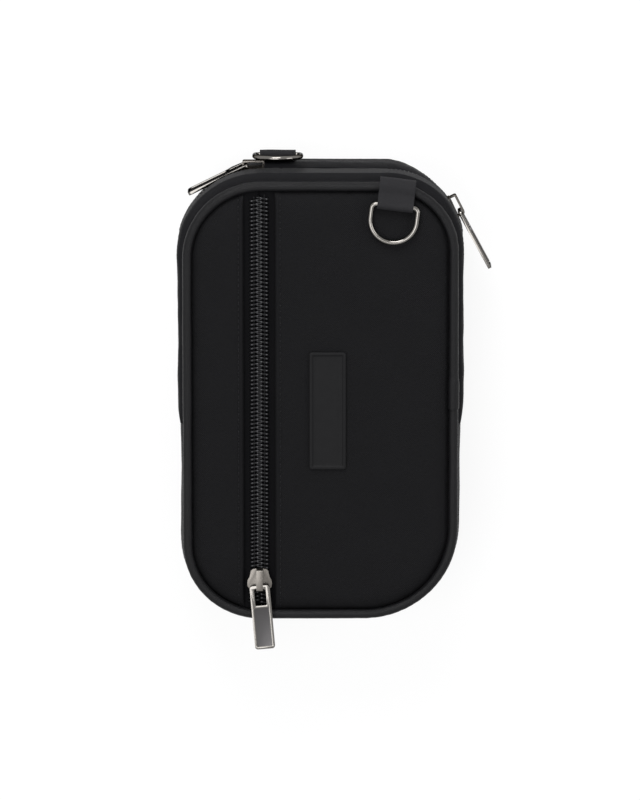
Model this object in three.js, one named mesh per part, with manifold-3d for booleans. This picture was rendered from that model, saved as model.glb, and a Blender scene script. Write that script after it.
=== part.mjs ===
// Insulin cooling case: a soft padded case lying on its back, with a front pocket zip, a main zip
// round its upper half, two D-rings on fabric tabs and a bare label patch.
// Millimetres, +Z out of the front panel, +Y to the case's top, origin on the back panel's flat face.
import * as THREE from 'three';
import { mergeVertices } from 'three/addons/utils/BufferGeometryUtils.js';
import Module from 'manifold-3d';

const wasm = await Module();
wasm.setup();

// Driving sizes of the case, measured over the piping.
const caseHeight = 200;
const caseWidth = 123;
const caseDepth = 50;
const topCornerRadius = 31;
const bottomLeftRadius = 34;
const bottomRightRadius = 42;
const foldY = -12;
const clearance = 0.3;
const cutOverrun = 2;
const cornerSteps = 10;

// Piping
const pipingDiameter = 4.6;
const pipingSides = 8;

// Gusset: padded strips on both sides of the main zip, and a plain wall below the fold
const gussetInside = 1.2;
const stripBulge = 2.2;
const lowerBulge = 1.0;
const zipSlotWidth = 13;

// Panels
const panelThickness = 5.4;
const panelGrooveDepth = 3.2;
const panelCrownRun = 12;
const backPanelThickness = 3.4;
const backPanelRise = 2.4;

// Zip chain: tape, coil and its teeth
const tapeThickness = 0.9;
const tapeSeat = 2.4;
const coilWidth = 7.6;
const coilHeight = 1.9;
const toothPitch = 1.82;
const toothThickness = 0.6;
const toothHead = 0.9;
const mainTapeOutside = 0;

// Pocket zip
const pocketZipX = -27.2;
const pocketSlotWidth = 13.8;
const pocketTapeDepth = 2.9;
const weltWidth = 2.6;
const weltHeight = 0.7;
const pocketSliderRise = 18.2;
const pocketSheetThickness = 0.6;

// Slider and pull, the same on all three zips
const sliderLength = 9.8;
const sliderWidth = 11;
const sliderNarrowWidth = 8.3;
const sliderPlate = 0.9;
const sliderThroat = 0.5;
const sliderFlangeWidth = 0.8;
const sliderWedgeWidth = 1.6;
const bridgeLift = 0.9;
const bridgeWidth = 2.9;
const bridgeThickness = 0.8;
const pullLength = 29.5;
const pullWidth = 9;
const pullThickness = 1.4;
const pullWindowWidth = 5.2;
const pullWindowLength = 7.9;
const pullRim = 1.1;
const pullRecess = 0.4;

// Main sliders' places round the rim
const leftSliderPastCorner = 0.7;
const leftPullAngle = 206.5;
const rightSliderAngle = 26.5;
const rightPullAngle = -62;
const pocketPullTilt = 5;

// D-rings and their fabric tabs
const ringWidth = 22.7;
const ringHeight = 18.8;
const ringWire = 2.1;
const tabWidth = 16;
const tabThickness = 0.9;
const frontTabAngle = 83;
const frontTabDrop = 7.6;
const backTabX = -19;
const backBarHeight = 15.5;
const backRingTilt = 7;

// Label patch
const patchWidth = 16.6;
const patchHeight = 54;
const patchThickness = 1.1;
const patchBorder = 1.5;
const patchBorderHeight = 0.5;
const patchCentreX = 3.2;
const patchCentreY = -4;
const patchCorner = 1.2;

// Insulation and contents
const foamThickness = 4.5;
const wallFoamThickness = 3.4;
const coverToSlider = 0.7;
const packGap = 8;
const packMargin = 5.6;
const packCorner = 14;
const coverThickness = 0.8;
const penBandWidth = 18;
const penBandThickness = 0.9;
const penLoopRise = 1.6;
const penLoopCount = 4;
const penBandInset = 16;
const upperPenBandY = 52;
const lowerPenBandY = -52;

// Sizes that follow from those
const pipingRadius = pipingDiameter / 2;
const halfWidth = caseWidth / 2 - pipingRadius;
const halfHeight = caseHeight / 2 - pipingRadius;
const midZ = caseDepth / 2;
const frontZ = caseDepth;
const frontPipingZ = frontZ - clearance - pipingRadius;
const backPipingZ = clearance + pipingRadius;
const stripOuter = pipingRadius + stripBulge;
const lowerOuter = pipingRadius + lowerBulge;
const panelInset = pipingRadius + clearance;
const panelBottomZ = frontZ - panelThickness;
const tapeTopZ = frontZ - pocketTapeDepth;
const foldGap = clearance / 2;
const sheetZ = panelBottomZ - clearance - pocketSheetThickness;
const frontFoamZ = sheetZ - clearance - foamThickness;
const backFoamZ = backPanelThickness + clearance;
const packZ = backFoamZ + foamThickness + clearance;
const coverZ = midZ - sliderWidth / 2 - coverToSlider - coverThickness;
const packThickness = coverZ - clearance - packZ;
const wallOuterInset = gussetInside + clearance;
const wallInnerInset = wallOuterInset + wallFoamThickness;
const topRightCentre = [caseWidth / 2 - topCornerRadius, caseHeight / 2 - topCornerRadius];
const pocketSliderY = pocketSliderRise - caseHeight / 2;
const leftSliderX = topCornerRadius - caseWidth / 2 + leftSliderPastCorner;
const degree = Math.PI / 180;

// Materials
const cloth = new THREE.MeshStandardMaterial({ color: 0x1c1c1e, roughness: 0.85, metalness: 0 });
const satin = new THREE.MeshStandardMaterial({ color: 0x262628, roughness: 0.5, metalness: 0 });
const tapeCloth = new THREE.MeshStandardMaterial({ color: 0x161618, roughness: 0.9, metalness: 0 });
const rubber = new THREE.MeshStandardMaterial({ color: 0x141415, roughness: 0.6, metalness: 0 });
const nickel = new THREE.MeshStandardMaterial({ color: 0xb4b0aa, roughness: 0.25, metalness: 1 });
const foil = new THREE.MeshStandardMaterial({ color: 0xc9ccd0, roughness: 0.35, metalness: 0.9 });
const gel = new THREE.MeshStandardMaterial({ color: 0x9cc4dc, roughness: 0.4, metalness: 0 });
const elastic = new THREE.MeshStandardMaterial({ color: 0x202022, roughness: 0.9, metalness: 0 });

const model = new THREE.Group();

// Turns a closed three.js geometry into a solid that can be joined and cut.
function solid(geometry) {
  const bare = geometry.clone();
  bare.deleteAttribute('normal');
  bare.deleteAttribute('uv');
  const merged = mergeVertices(bare, clearance / 1000);
  return new wasm.Manifold(new wasm.Mesh({
    numProp: 3,
    vertProperties: merged.attributes.position.array,
    triVerts: new Uint32Array(merged.index.array),
  }));
}

// Turns a joined or cut solid back into a geometry.
function geometryOf(body) {
  const result = body.getMesh();
  const geometry = new THREE.BufferGeometry();
  geometry.setAttribute('position', new THREE.BufferAttribute(result.vertProperties, 3));
  geometry.setIndex(new THREE.BufferAttribute(result.triVerts, 1));
  return geometry;
}

// Adds a named mesh to a group.
function add(name, geometry, material, group = model) {
  const mesh = new THREE.Mesh(geometry, material);
  mesh.name = name;
  group.add(mesh);
  return mesh;
}

// Turns a geometry's faces outward if its signed volume is negative.
function facingOut(points, faces) {
  let volume = 0;
  const [a, b, c] = [new THREE.Vector3(), new THREE.Vector3(), new THREE.Vector3()];
  for (const [i, j, k] of faces) {
    a.fromArray(points[i]);
    b.fromArray(points[j]);
    c.fromArray(points[k]);
    volume += a.dot(b.cross(c));
  }
  const ordered = volume < 0 ? faces.map(([i, j, k]) => [i, k, j]) : faces;
  const geometry = new THREE.BufferGeometry();
  geometry.setAttribute('position', new THREE.Float32BufferAttribute(points.flat(), 3));
  geometry.setIndex(ordered.flat());
  return geometry;
}

// Triangulates one end of a loft from its flat outline.
function capFaces(flatPoints, first) {
  const outline = flatPoints.map(([u, v]) => new THREE.Vector2(u, v));
  return THREE.ShapeUtils.triangulateShape(outline, []).map((face) => face.map((i) => i + first));
}

// Joins rings of points of equal length into one closed body, with caps or as a closed loop.
function loft(rings, flatEnds) {
  const count = rings[0].length;
  const faces = [];
  const steps = flatEnds ? rings.length - 1 : rings.length;
  for (let ring = 0; ring < steps; ring++) {
    const low = ring * count;
    const high = ((ring + 1) % rings.length) * count;
    for (let i = 0; i < count; i++) {
      const next = (i + 1) % count;
      faces.push([low + i, low + next, high + next], [low + i, high + next, high + i]);
    }
  }
  if (flatEnds) {
    const clockwise = THREE.ShapeUtils.isClockWise(flatEnds[0].map(([u, v]) => new THREE.Vector2(u, v)));
    const start = capFaces(flatEnds[0], 0);
    const end = capFaces(flatEnds[1], (rings.length - 1) * count);
    const flip = ([i, j, k]) => [i, k, j];
    faces.push(...(clockwise ? start : start.map(flip)), ...(clockwise ? end.map(flip) : end));
  }
  return facingOut(rings.flat(), faces);
}

// Stations along one rounded corner of the rim, on the piping's centre line.
function corner(signX, signY, cornerRadius, startAngle) {
  const radius = cornerRadius - pipingRadius;
  const centreX = signX * (halfWidth - radius);
  const centreY = signY * (halfHeight - radius);
  const stations = [];
  for (let i = 0; i <= cornerSteps; i++) {
    const angle = (startAngle + (90 * i) / cornerSteps) * degree;
    const nx = Math.cos(angle);
    const ny = Math.sin(angle);
    stations.push({ x: centreX + radius * nx, y: centreY + radius * ny, nx, ny });
  }
  return stations;
}

const topRightCorner = corner(1, 1, topCornerRadius, 0);
const topLeftCorner = corner(-1, 1, topCornerRadius, 90);
const upperCorners = [...topRightCorner, ...topLeftCorner];
const lowerCorners = [
  ...corner(-1, -1, bottomLeftRadius, 180),
  ...corner(1, -1, bottomRightRadius, 270),
];
const wholeRim = [...upperCorners, ...lowerCorners];
const sideStation = (side, y) => ({ x: side * halfWidth, y, nx: side, ny: 0 });

// The rim above the fold, and the rim below it, each ending at the fold.
function upperRim(gap) {
  return [sideStation(1, foldY + gap), ...upperCorners, sideStation(-1, foldY + gap)];
}
function lowerRim(gap) {
  return [sideStation(-1, foldY - gap), ...lowerCorners, sideStation(1, foldY - gap)];
}

// Sweeps a profile of [outward, height] points along rim stations.
function sweep(stations, profileAt, closed = false) {
  const profiles = stations.map((station, index) => profileAt(station, index));
  const rings = stations.map((station, index) => profiles[index].map(([outward, z]) => [
    station.x + station.nx * outward,
    station.y + station.ny * outward,
    z,
  ]));
  return loft(rings, closed ? null : [profiles[0], profiles.at(-1)]);
}

// The case's outline moved inward, as flat points.
function outline(inset) {
  return wholeRim.map(({ x, y, nx, ny }) => [x - nx * inset, y - ny * inset]);
}

// A slab with the case's outline whose edge follows [inset, height] steps from below to above.
function outlineSlab(steps) {
  const rings = steps.map(([inset, z]) => outline(inset).map(([x, y]) => [x, y, z]));
  return loft(rings, [outline(steps[0][0]), outline(steps.at(-1)[0])]);
}

// A box between two corners, as a solid for cutting.
function boxSolid([x0, y0, z0], [x1, y1, z1]) {
  const box = new THREE.BoxGeometry(x1 - x0, y1 - y0, z1 - z0);
  box.translate((x0 + x1) / 2, (y0 + y1) / 2, (z0 + z1) / 2);
  return solid(box);
}

// A flat shape with rounded corners.
function roundedShape(width, height, radius) {
  const shape = new THREE.Shape();
  const [x, y] = [width / 2, height / 2];
  shape.moveTo(radius - x, -y);
  shape.lineTo(x - radius, -y);
  shape.absarc(x - radius, radius - y, radius, -Math.PI / 2, 0);
  shape.lineTo(x, y - radius);
  shape.absarc(x - radius, y - radius, radius, 0, Math.PI / 2);
  shape.lineTo(radius - x, y);
  shape.absarc(radius - x, y - radius, radius, Math.PI / 2, Math.PI);
  shape.lineTo(-x, radius - y);
  shape.absarc(radius - x, radius - y, radius, Math.PI, 1.5 * Math.PI);
  return shape;
}

// An upright extrusion of a flat shape from one height to another.
function slab(shape, fromZ, toZ, curveSegments = 3) {
  const geometry = new THREE.ExtrudeGeometry(shape, {
    depth: toZ - fromZ,
    bevelEnabled: false,
    curveSegments,
  });
  return geometry.translate(0, 0, fromZ);
}

const wideX = halfWidth + stripOuter + cutOverrun;
const wideY = halfHeight + stripOuter + cutOverrun;
const highZ = frontZ + cutOverrun;
const upperSpace = boxSolid([-wideX, foldY + foldGap, 0], [wideX, wideY, highZ]);
const lowerSpace = boxSolid([-wideX, -wideY, 0], [wideX, foldY - foldGap, highZ]);

// Front panels: one padded slab cut by the pocket zip's slot and by the fold, with raised welts
// along the slot.
const panelCrown = [
  [panelInset, panelBottomZ],
  [panelInset, frontZ - panelGrooveDepth],
  [panelInset + panelCrownRun * 0.15, frontZ - panelGrooveDepth * 0.45],
  [panelInset + panelCrownRun * 0.45, frontZ - panelGrooveDepth * 0.13],
  [panelInset + panelCrownRun, frontZ],
];
const slotLeft = pocketZipX - pocketSlotWidth / 2;
const slotRight = pocketZipX + pocketSlotWidth / 2;
const tapeReach = coilWidth / 2 + tapeSeat + (pocketSlotWidth - coilWidth) / 2;
const tapeLeft = pocketZipX - tapeReach - clearance;
const tapeRight = pocketZipX + tapeReach + clearance;
const seatTopZ = tapeTopZ + clearance;

// A fold of cloth along the slot: a low rounded ridge over the whole height, trimmed to the panel.
function welt(centreX) {
  const ridge = new THREE.Shape();
  ridge.moveTo(-weltWidth / 2, -cutOverrun);
  ridge.lineTo(weltWidth / 2, -cutOverrun);
  ridge.lineTo(weltWidth / 2, 0);
  ridge.bezierCurveTo(weltWidth / 2, weltHeight, -weltWidth / 2, weltHeight, -weltWidth / 2, 0);
  const bar = new THREE.ExtrudeGeometry(ridge, {
    depth: 2 * halfHeight,
    bevelEnabled: false,
    curveSegments: 6,
  });
  bar.rotateX(Math.PI / 2);
  bar.translate(centreX, halfHeight, frontZ);
  const trim = panelInset + panelCrownRun * 0.45;
  return solid(bar).intersect(solid(outlineSlab([[trim, panelBottomZ], [trim, highZ]])));
}
const panelSolid = solid(outlineSlab(panelCrown))
  .add(welt(slotLeft - weltWidth / 2))
  .add(welt(slotRight + weltWidth / 2))
  .subtract(boxSolid([slotLeft, -wideY, 0], [slotRight, wideY, highZ]))
  .subtract(boxSolid([tapeLeft, -wideY, 0], [tapeRight, wideY, seatTopZ]));
const leftSpace = boxSolid([-wideX, -wideY, 0], [pocketZipX, wideY, highZ]);
const rightSpace = boxSolid([pocketZipX, -wideY, 0], [wideX, wideY, highZ]);
for (const [side, sideSpace] of [['left', leftSpace], ['right', rightSpace]]) {
  for (const [level, levelSpace] of [['upper', upperSpace], ['lower', lowerSpace]]) {
    const piece = panelSolid.intersect(sideSpace).intersect(levelSpace);
    add(`front_panel_${side}_${level}`, geometryOf(piece), cloth);
  }
}

// Piping: a round satin cord along both panel edges.
function pipingRing(centreZ) {
  const section = [];
  for (let i = 0; i < pipingSides; i++) {
    const angle = (2 * Math.PI * (i + 0.5)) / pipingSides;
    section.push([pipingRadius * Math.cos(angle), centreZ + pipingRadius * Math.sin(angle)]);
  }
  return sweep(wholeRim, () => section, true);
}
add('front_piping', pipingRing(frontPipingZ), satin);
add('back_piping', pipingRing(backPipingZ), satin);

// Back panel: flat where the case rests, rising to the piping at its edge.
add('back_panel', outlineSlab([
  [panelInset + backPanelRise * 2, 0],
  [panelInset + backPanelRise, backPanelRise * 0.3],
  [panelInset, backPanelRise],
  [panelInset, backPanelThickness],
]), cloth);

// Gusset strips: padded, bulging outward, with a lip beside the zip and a step that seats the tape.
const slotHalf = zipSlotWidth / 2;
const stripTopZ = frontPipingZ - pipingRadius - clearance;
const tapeEdge = slotHalf + tapeSeat;
const stripSpan = stripTopZ - midZ - slotHalf;
const stripProfile = [
  [-gussetInside, stripTopZ],
  [pipingRadius * 0.6, stripTopZ],
  [stripOuter - stripBulge * 0.45, stripTopZ - stripSpan * 0.16],
  [stripOuter, stripTopZ - stripSpan * 0.45],
  [stripOuter - stripBulge * 0.15, stripTopZ - stripSpan * 0.75],
  [stripOuter - stripBulge * 0.7, midZ + slotHalf],
  [mainTapeOutside + clearance, midZ + slotHalf],
  [mainTapeOutside + clearance, midZ + tapeEdge + clearance],
  [-gussetInside, midZ + tapeEdge + clearance],
];
const mirrored = (profile) => profile.map(([outward, z]) => [outward, 2 * midZ - z]).reverse();
add('gusset_strip_front', sweep(upperRim(foldGap), () => stripProfile), cloth);
add('gusset_strip_back', sweep(upperRim(foldGap), () => mirrored(stripProfile)), cloth);

// Lower gusset: the plain wall below the fold.
const lowerSpan = stripTopZ - midZ;
const lowerProfile = [
  [-gussetInside, stripTopZ],
  [pipingRadius * 0.6, stripTopZ],
  [lowerOuter - lowerBulge * 0.5, stripTopZ - lowerSpan * 0.25],
  [lowerOuter, midZ],
  [lowerOuter - lowerBulge * 0.5, 2 * midZ - stripTopZ + lowerSpan * 0.25],
  [pipingRadius * 0.6, 2 * midZ - stripTopZ],
  [-gussetInside, 2 * midZ - stripTopZ],
];
add('lower_gusset', sweep(lowerRim(foldGap), () => lowerProfile), cloth);

// One half of a zip chain: a tape with the coil's bed along its inner edge. Each frame is a place on
// the chain's centre line with the directions across the tape and up out of it.
const coilEdge = coilWidth / 2;
const bedInner = coilEdge * 0.28;
const bedHeight = coilHeight * 0.6;
function chainTape(frames, reach, bedStart, bedTop) {
  const rings = frames.map(({ point, across, up, parting }) => {
    const inner = clearance / 2 + parting;
    const section = [
      [inner, -tapeThickness],
      [reach, -tapeThickness],
      [reach, 0],
      [coilEdge + parting, 0],
      [coilEdge * 0.9 + parting, bedTop],
      [bedStart * 1.1 + parting, bedTop],
      [bedStart + parting, 0],
      [inner, 0],
    ];
    return { section, ring: section.map(([a, u]) => place(point, across, up, a, u)) };
  });
  return loft(rings.map(({ ring }) => ring), [rings[0].section, rings.at(-1).section]);
}

// A point moved across and up from a place.
function place(point, across, up, distance, height) {
  return point.map((value, axis) => value + across[axis] * distance + up[axis] * height);
}

// One turn of the coil: a rounded bar from the outer edge to the head that hooks past the centre line.
const toothSection = [
  [coilEdge * 0.97, coilHeight * 0.1],
  [coilEdge * 0.6, coilHeight],
  [-toothHead, coilHeight * 0.68],
  [-toothHead * 0.9, clearance * 1.3],
];
function coilTurn({ point, across, up }, along) {
  const rings = [-toothThickness / 2, toothThickness / 2].map((shift) => {
    const centre = point.map((value, axis) => value + along[axis] * shift);
    return toothSection.map(([a, u]) => place(centre, across, up, a, u));
  });
  return loft(rings, [toothSection, toothSection]);
}

// Pocket zip: straight, closed down to its slider and parted below it.
const pocketTop = halfHeight - panelInset - clearance;
const partedFrom = pocketSliderY + sliderLength * 0.05;
const chainParting = sliderWedgeWidth / 2 + clearance;
const outlineTrim = solid(outlineSlab([[panelInset + clearance, 0], [panelInset + clearance, highZ]]));
function pocketFrame(side, y, parting) {
  return { point: [pocketZipX, y, tapeTopZ], across: [side, 0, 0], up: [0, 0, 1], parting };
}
for (const [name, side, phase] of [['pocket_zip_left', -1, 0], ['pocket_zip_right', 1, 0.5]]) {
  const frames = [
    pocketFrame(side, -halfHeight, chainParting),
    pocketFrame(side, pocketSliderY - sliderLength / 2, chainParting),
    pocketFrame(side, partedFrom, 0),
    pocketFrame(side, halfHeight, 0),
  ];
  let half = solid(chainTape(frames, tapeReach, bedInner, bedHeight));
  const firstTurn = partedFrom + toothPitch * (1 + phase);
  for (let y = firstTurn; y < pocketTop - toothPitch; y += toothPitch) {
    half = half.add(solid(coilTurn(pocketFrame(side, y, 0), [0, 1, 0])));
  }
  add(name, geometryOf(half.intersect(outlineTrim)), tapeCloth);
}

// The lining sheet that closes the pocket behind both front panels.
const liningInset = panelInset + clearance;
add('pocket_lining', outlineSlab([[liningInset, sheetZ], [liningInset, sheetZ + pocketSheetThickness]]),
  cloth);

// Main zip: tape and coil round the upper rim, closed outside the two sliders and parted between
// them.
const topRimRadius = topCornerRadius - pipingRadius;
function mainParting({ x, y }) {
  const polar = Math.atan2(y - topRightCentre[1], x - topRightCentre[0]);
  const pastRight = (polar - rightSliderAngle * degree) * topRimRadius;
  const pastLeft = x - leftSliderX;
  const past = Math.min(x > 0 ? pastRight : pastLeft, sliderLength / 2) / sliderLength;
  return chainParting * Math.max(past + 0.5, 0);
}
const mainRim = [
  sideStation(1, foldY + foldGap),
  ...topRightCorner,
  { x: leftSliderX + sliderLength / 2, y: halfHeight, nx: 0, ny: 1 },
  ...topLeftCorner,
  sideStation(-1, foldY + foldGap),
];
const mainBedInner = clearance;
const mainFrames = (side) => mainRim.map((station) => ({
  point: [
    station.x + station.nx * mainTapeOutside,
    station.y + station.ny * mainTapeOutside,
    midZ,
  ],
  across: [0, 0, side],
  up: [station.nx, station.ny, 0],
  parting: mainParting(station),
}));
for (const [name, side] of [['main_zip_front', 1], ['main_zip_back', -1]]) {
  add(name, chainTape(mainFrames(side), tapeEdge, mainBedInner, coilHeight * 0.85), tapeCloth);
}

// Slider body: two plates joined by a wedge between the throats, side flanges and a bridge.
// Local frame: +Y to the closed end, +Z out of the tape, origin on the tape's outer face.
const topPlateZ = coilHeight + sliderThroat;
const bottomPlateZ = -tapeThickness - sliderThroat - sliderPlate;
const plateTopZ = topPlateZ + sliderPlate;
const bridgeInner = pullThickness + clearance + bridgeLift;
const bridgeHalf = sliderLength / 2;
const pivotY = bridgeHalf - bridgeThickness - clearance - pullThickness / 2;
const pivotZ = plateTopZ + bridgeLift + pullThickness / 2;
function sliderPlateShape() {
  const [half, wide, narrow] = [sliderLength / 2, sliderWidth / 2, sliderNarrowWidth / 2];
  const shape = new THREE.Shape();
  shape.moveTo(0, -half * 0.86);
  shape.lineTo(wide * 0.45, -half);
  shape.bezierCurveTo(wide * 0.9, -half, wide, -half * 0.8, wide, -half * 0.4);
  shape.bezierCurveTo(wide, half * 0.1, narrow, half * 0.1, narrow, half * 0.5);
  shape.bezierCurveTo(narrow, half * 0.85, narrow * 0.8, half, narrow * 0.4, half);
  shape.lineTo(-narrow * 0.4, half);
  shape.bezierCurveTo(-narrow * 0.8, half, -narrow, half * 0.85, -narrow, half * 0.5);
  shape.bezierCurveTo(-narrow, half * 0.1, -wide, half * 0.1, -wide, -half * 0.4);
  shape.bezierCurveTo(-wide, -half * 0.8, -wide * 0.9, -half, -wide * 0.45, -half);
  return shape;
}
function sliderBody() {
  const plate = sliderPlateShape();
  const half = sliderLength / 2;
  const wedge = new THREE.Shape();
  wedge.moveTo(-sliderWedgeWidth / 2, -half * 0.84);
  wedge.lineTo(sliderWedgeWidth / 2, -half * 0.84);
  wedge.lineTo(sliderWedgeWidth * 0.2, -half * 0.2);
  wedge.lineTo(-sliderWedgeWidth * 0.2, -half * 0.2);
  const arch = new THREE.Shape();
  const archTop = plateTopZ + bridgeInner + bridgeThickness;
  arch.moveTo(-bridgeHalf, plateTopZ - sliderPlate / 2);
  arch.lineTo(-bridgeHalf, archTop - bridgeThickness);
  arch.quadraticCurveTo(-bridgeHalf, archTop, bridgeThickness - bridgeHalf, archTop);
  arch.lineTo(bridgeHalf - bridgeThickness, archTop);
  arch.quadraticCurveTo(bridgeHalf, archTop, bridgeHalf, archTop - bridgeThickness);
  arch.lineTo(bridgeHalf, plateTopZ - sliderPlate / 2);
  arch.lineTo(bridgeHalf - bridgeThickness, plateTopZ - sliderPlate / 2);
  arch.lineTo(bridgeHalf - bridgeThickness, plateTopZ + bridgeInner);
  arch.lineTo(bridgeThickness - bridgeHalf, plateTopZ + bridgeInner);
  arch.lineTo(bridgeThickness - bridgeHalf, plateTopZ - sliderPlate / 2);
  const bridge = slab(arch, -bridgeWidth / 2, bridgeWidth / 2);
  bridge.rotateX(Math.PI / 2);
  bridge.rotateZ(Math.PI / 2);
  let body = solid(slab(plate, topPlateZ, plateTopZ))
    .add(solid(slab(plate, bottomPlateZ, bottomPlateZ + sliderPlate)))
    .add(solid(slab(wedge, bottomPlateZ, plateTopZ)))
    .add(solid(bridge));
  const flangeFoot = bedHeight + clearance;
  for (const side of [-1, 1]) {
    const outer = side * (sliderWidth / 2 - clearance / 3);
    const inner = outer - side * sliderFlangeWidth;
    const [low, high] = [Math.min(outer, inner), Math.max(outer, inner)];
    body = body.add(boxSolid([low, -half * 0.55, flangeFoot], [high, -half * 0.15, plateTopZ]));
  }
  return geometryOf(body);
}

// Pull: a plate with a window for the bridge and a recess inside a raised rim.
// Local frame: crossbar's axis along X through the origin, plate along -Y.
function pullPlate() {
  const arm = pullThickness / 2;
  const plate = roundedShape(pullWidth, pullLength, pullThickness);
  const window = roundedShape(pullWindowWidth, pullWindowLength, pullThickness / 2);
  const recessLength = pullLength - pullThickness - pullWindowLength - 2 * pullRim;
  const recess = roundedShape(pullWidth - 2 * pullRim, recessLength, pullThickness / 2);
  const centreY = arm - pullLength / 2;
  const windowY = -arm - pullWindowLength / 2;
  const recessY = arm - pullLength + pullRim + recessLength / 2;
  const base = slab(plate, -arm, arm).translate(0, centreY, 0);
  const hole = slab(window, -cutOverrun, cutOverrun).translate(0, windowY, 0);
  const hollow = slab(recess, arm - pullRecess, cutOverrun).translate(0, recessY, 0);
  return solid(base).subtract(solid(hole)).subtract(solid(hollow));
}
const pullGeometry = geometryOf(pullPlate());
const sliderGeometry = sliderBody();

// Puts a slider on its chain with its pull; the pull hangs from the end that pullEnd names.
function zipSlider(name, group, pullEnd, pullTurn) {
  add(`${name}_slider`, sliderGeometry.clone(), nickel, group);
  const pull = add(`${name}_pull`, pullGeometry.clone(), nickel, group);
  pull.position.set(0, pullEnd * pivotY, pivotZ);
  pull.rotation.copy(pullTurn);
  model.add(group);
}

const pocketGroup = new THREE.Group();
pocketGroup.position.set(pocketZipX, pocketSliderY, tapeTopZ);
zipSlider('pocket', pocketGroup, -1, new THREE.Euler(0, 0, pocketPullTilt * degree));

// A group whose +Z is the rim's outward direction and whose +Y runs along the rim, to the left
// when sense is 1 and to the right when it is -1.
function rimGroup(x, y, outwardAngle, sense) {
  const outward = new THREE.Vector3(Math.cos(outwardAngle), Math.sin(outwardAngle), 0);
  const along = new THREE.Vector3(-outward.y, outward.x, 0).multiplyScalar(sense);
  const across = new THREE.Vector3().crossVectors(along, outward);
  const group = new THREE.Group();
  group.quaternion.setFromRotationMatrix(new THREE.Matrix4().makeBasis(across, along, outward));
  group.position.set(x, y, midZ);
  return group;
}

// Left main slider on the top, its pull lying down over the left shoulder.
const leftGroup = rimGroup(leftSliderX, halfHeight + mainTapeOutside, Math.PI / 2, 1);
const leftPullLift = (180 - leftPullAngle) * degree;
zipSlider('left', leftGroup, 1, new THREE.Euler(Math.PI + leftPullLift, Math.PI, 0));

// Right main slider on the top right corner, its pull standing off the right side.
const rightOutward = rightSliderAngle * degree;
const rightGroup = rimGroup(
  topRightCentre[0] + (topRimRadius + mainTapeOutside) * Math.cos(rightOutward),
  topRightCentre[1] + (topRimRadius + mainTapeOutside) * Math.sin(rightOutward),
  rightOutward,
  -1,
);
const rightPullLift = (rightPullAngle - rightSliderAngle + 90) * degree;
zipSlider('right', rightGroup, 1, new THREE.Euler(Math.PI + rightPullLift, Math.PI, 0));

// D-ring: a wire bent into a straight bar, two arms and an arc. Local frame: the bar's axis along X
// through the origin, the ring hanging along -Y, flat in the XY plane.
function dRing() {
  const wire = ringWire / 2;
  const half = ringWidth / 2 - wire;
  const reach = ringHeight - ringWire;
  const bend = ringWire;
  const turns = [
    { x: half - bend, y: -bend, radius: bend, from: 90, to: 0, steps: 4 },
    { x: 0, y: half - reach, radius: half, from: 0, to: -180, steps: 14 },
    { x: bend - half, y: -bend, radius: bend, from: -180, to: -270, steps: 4 },
  ];
  const rings = [];
  for (const { x, y, radius, from, to, steps } of turns) {
    for (let i = 0; i <= steps; i++) {
      const angle = (from + ((to - from) * i) / steps) * degree;
      const [nx, ny] = [Math.cos(angle), Math.sin(angle)];
      const section = [];
      for (let side = 0; side < pipingSides; side++) {
        const turn = (2 * Math.PI * side) / pipingSides;
        const out = radius + wire * Math.cos(turn);
        section.push([x + nx * out, y + ny * out, wire * Math.sin(turn)]);
      }
      rings.push(section);
    }
  }
  return loft(rings, null);
}
const ringGeometry = dRing();

// Fabric tab: a strap folded round a D-ring's bar and sewn down beside the piping. Its side view is
// drawn with u outward from the rim and w along the case's depth, away from the seam.
const loopInner = ringWire / 2 + clearance;
const loopOuter = loopInner + tabThickness;
const strap = tabThickness * 1.3;
function tabGeometry(contour, loopU, loopW) {
  const shape = new THREE.Shape();
  contour(shape);
  const bore = new THREE.Path();
  const boreTurnsBack = !THREE.ShapeUtils.isClockWise(shape.getPoints());
  bore.absarc(loopU, loopW, loopInner, 0, 2 * Math.PI, boreTurnsBack);
  shape.holes.push(bore);
  const geometry = slab(shape, -tabWidth / 2, tabWidth / 2, 5);
  geometry.rotateX(Math.PI / 2);
  return geometry.rotateZ(Math.PI / 2);
}

// Front tab: from the seam outside the front piping, over the piping and down the panel.
const wrapInner = pipingRadius + clearance;
const wrapOuter = wrapInner + strap;
const frontLoopU = -frontTabDrop;
const frontLoopW = wrapInner + loopOuter;
const frontTab = tabGeometry((shape) => {
  const root = -18 * degree;
  shape.moveTo(wrapOuter * Math.cos(root), wrapOuter * Math.sin(root));
  shape.absarc(0, 0, wrapOuter, root, Math.PI / 2, false);
  shape.lineTo(frontLoopU + 2 * loopOuter, wrapOuter);
  shape.absarc(frontLoopU, frontLoopW, loopOuter, 0.32 * Math.PI, 1.5 * Math.PI, false);
  shape.lineTo(0, wrapInner);
  shape.absarc(0, 0, wrapInner, Math.PI / 2, root, true);
}, frontLoopU, frontLoopW);
const frontTabGroup = new THREE.Group();
frontTabGroup.position.set(topRightCentre[0], topRightCentre[1], frontPipingZ);
frontTabGroup.rotation.z = (frontTabAngle - 90) * degree;
const frontTabMesh = add('front_tab', frontTab, cloth, frontTabGroup);
frontTabMesh.position.y = topRimRadius;
const frontRing = add('front_ring', ringGeometry.clone(), nickel, frontTabGroup);
frontRing.position.set(0, topRimRadius + frontLoopU, frontLoopW);
model.add(frontTabGroup);

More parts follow.
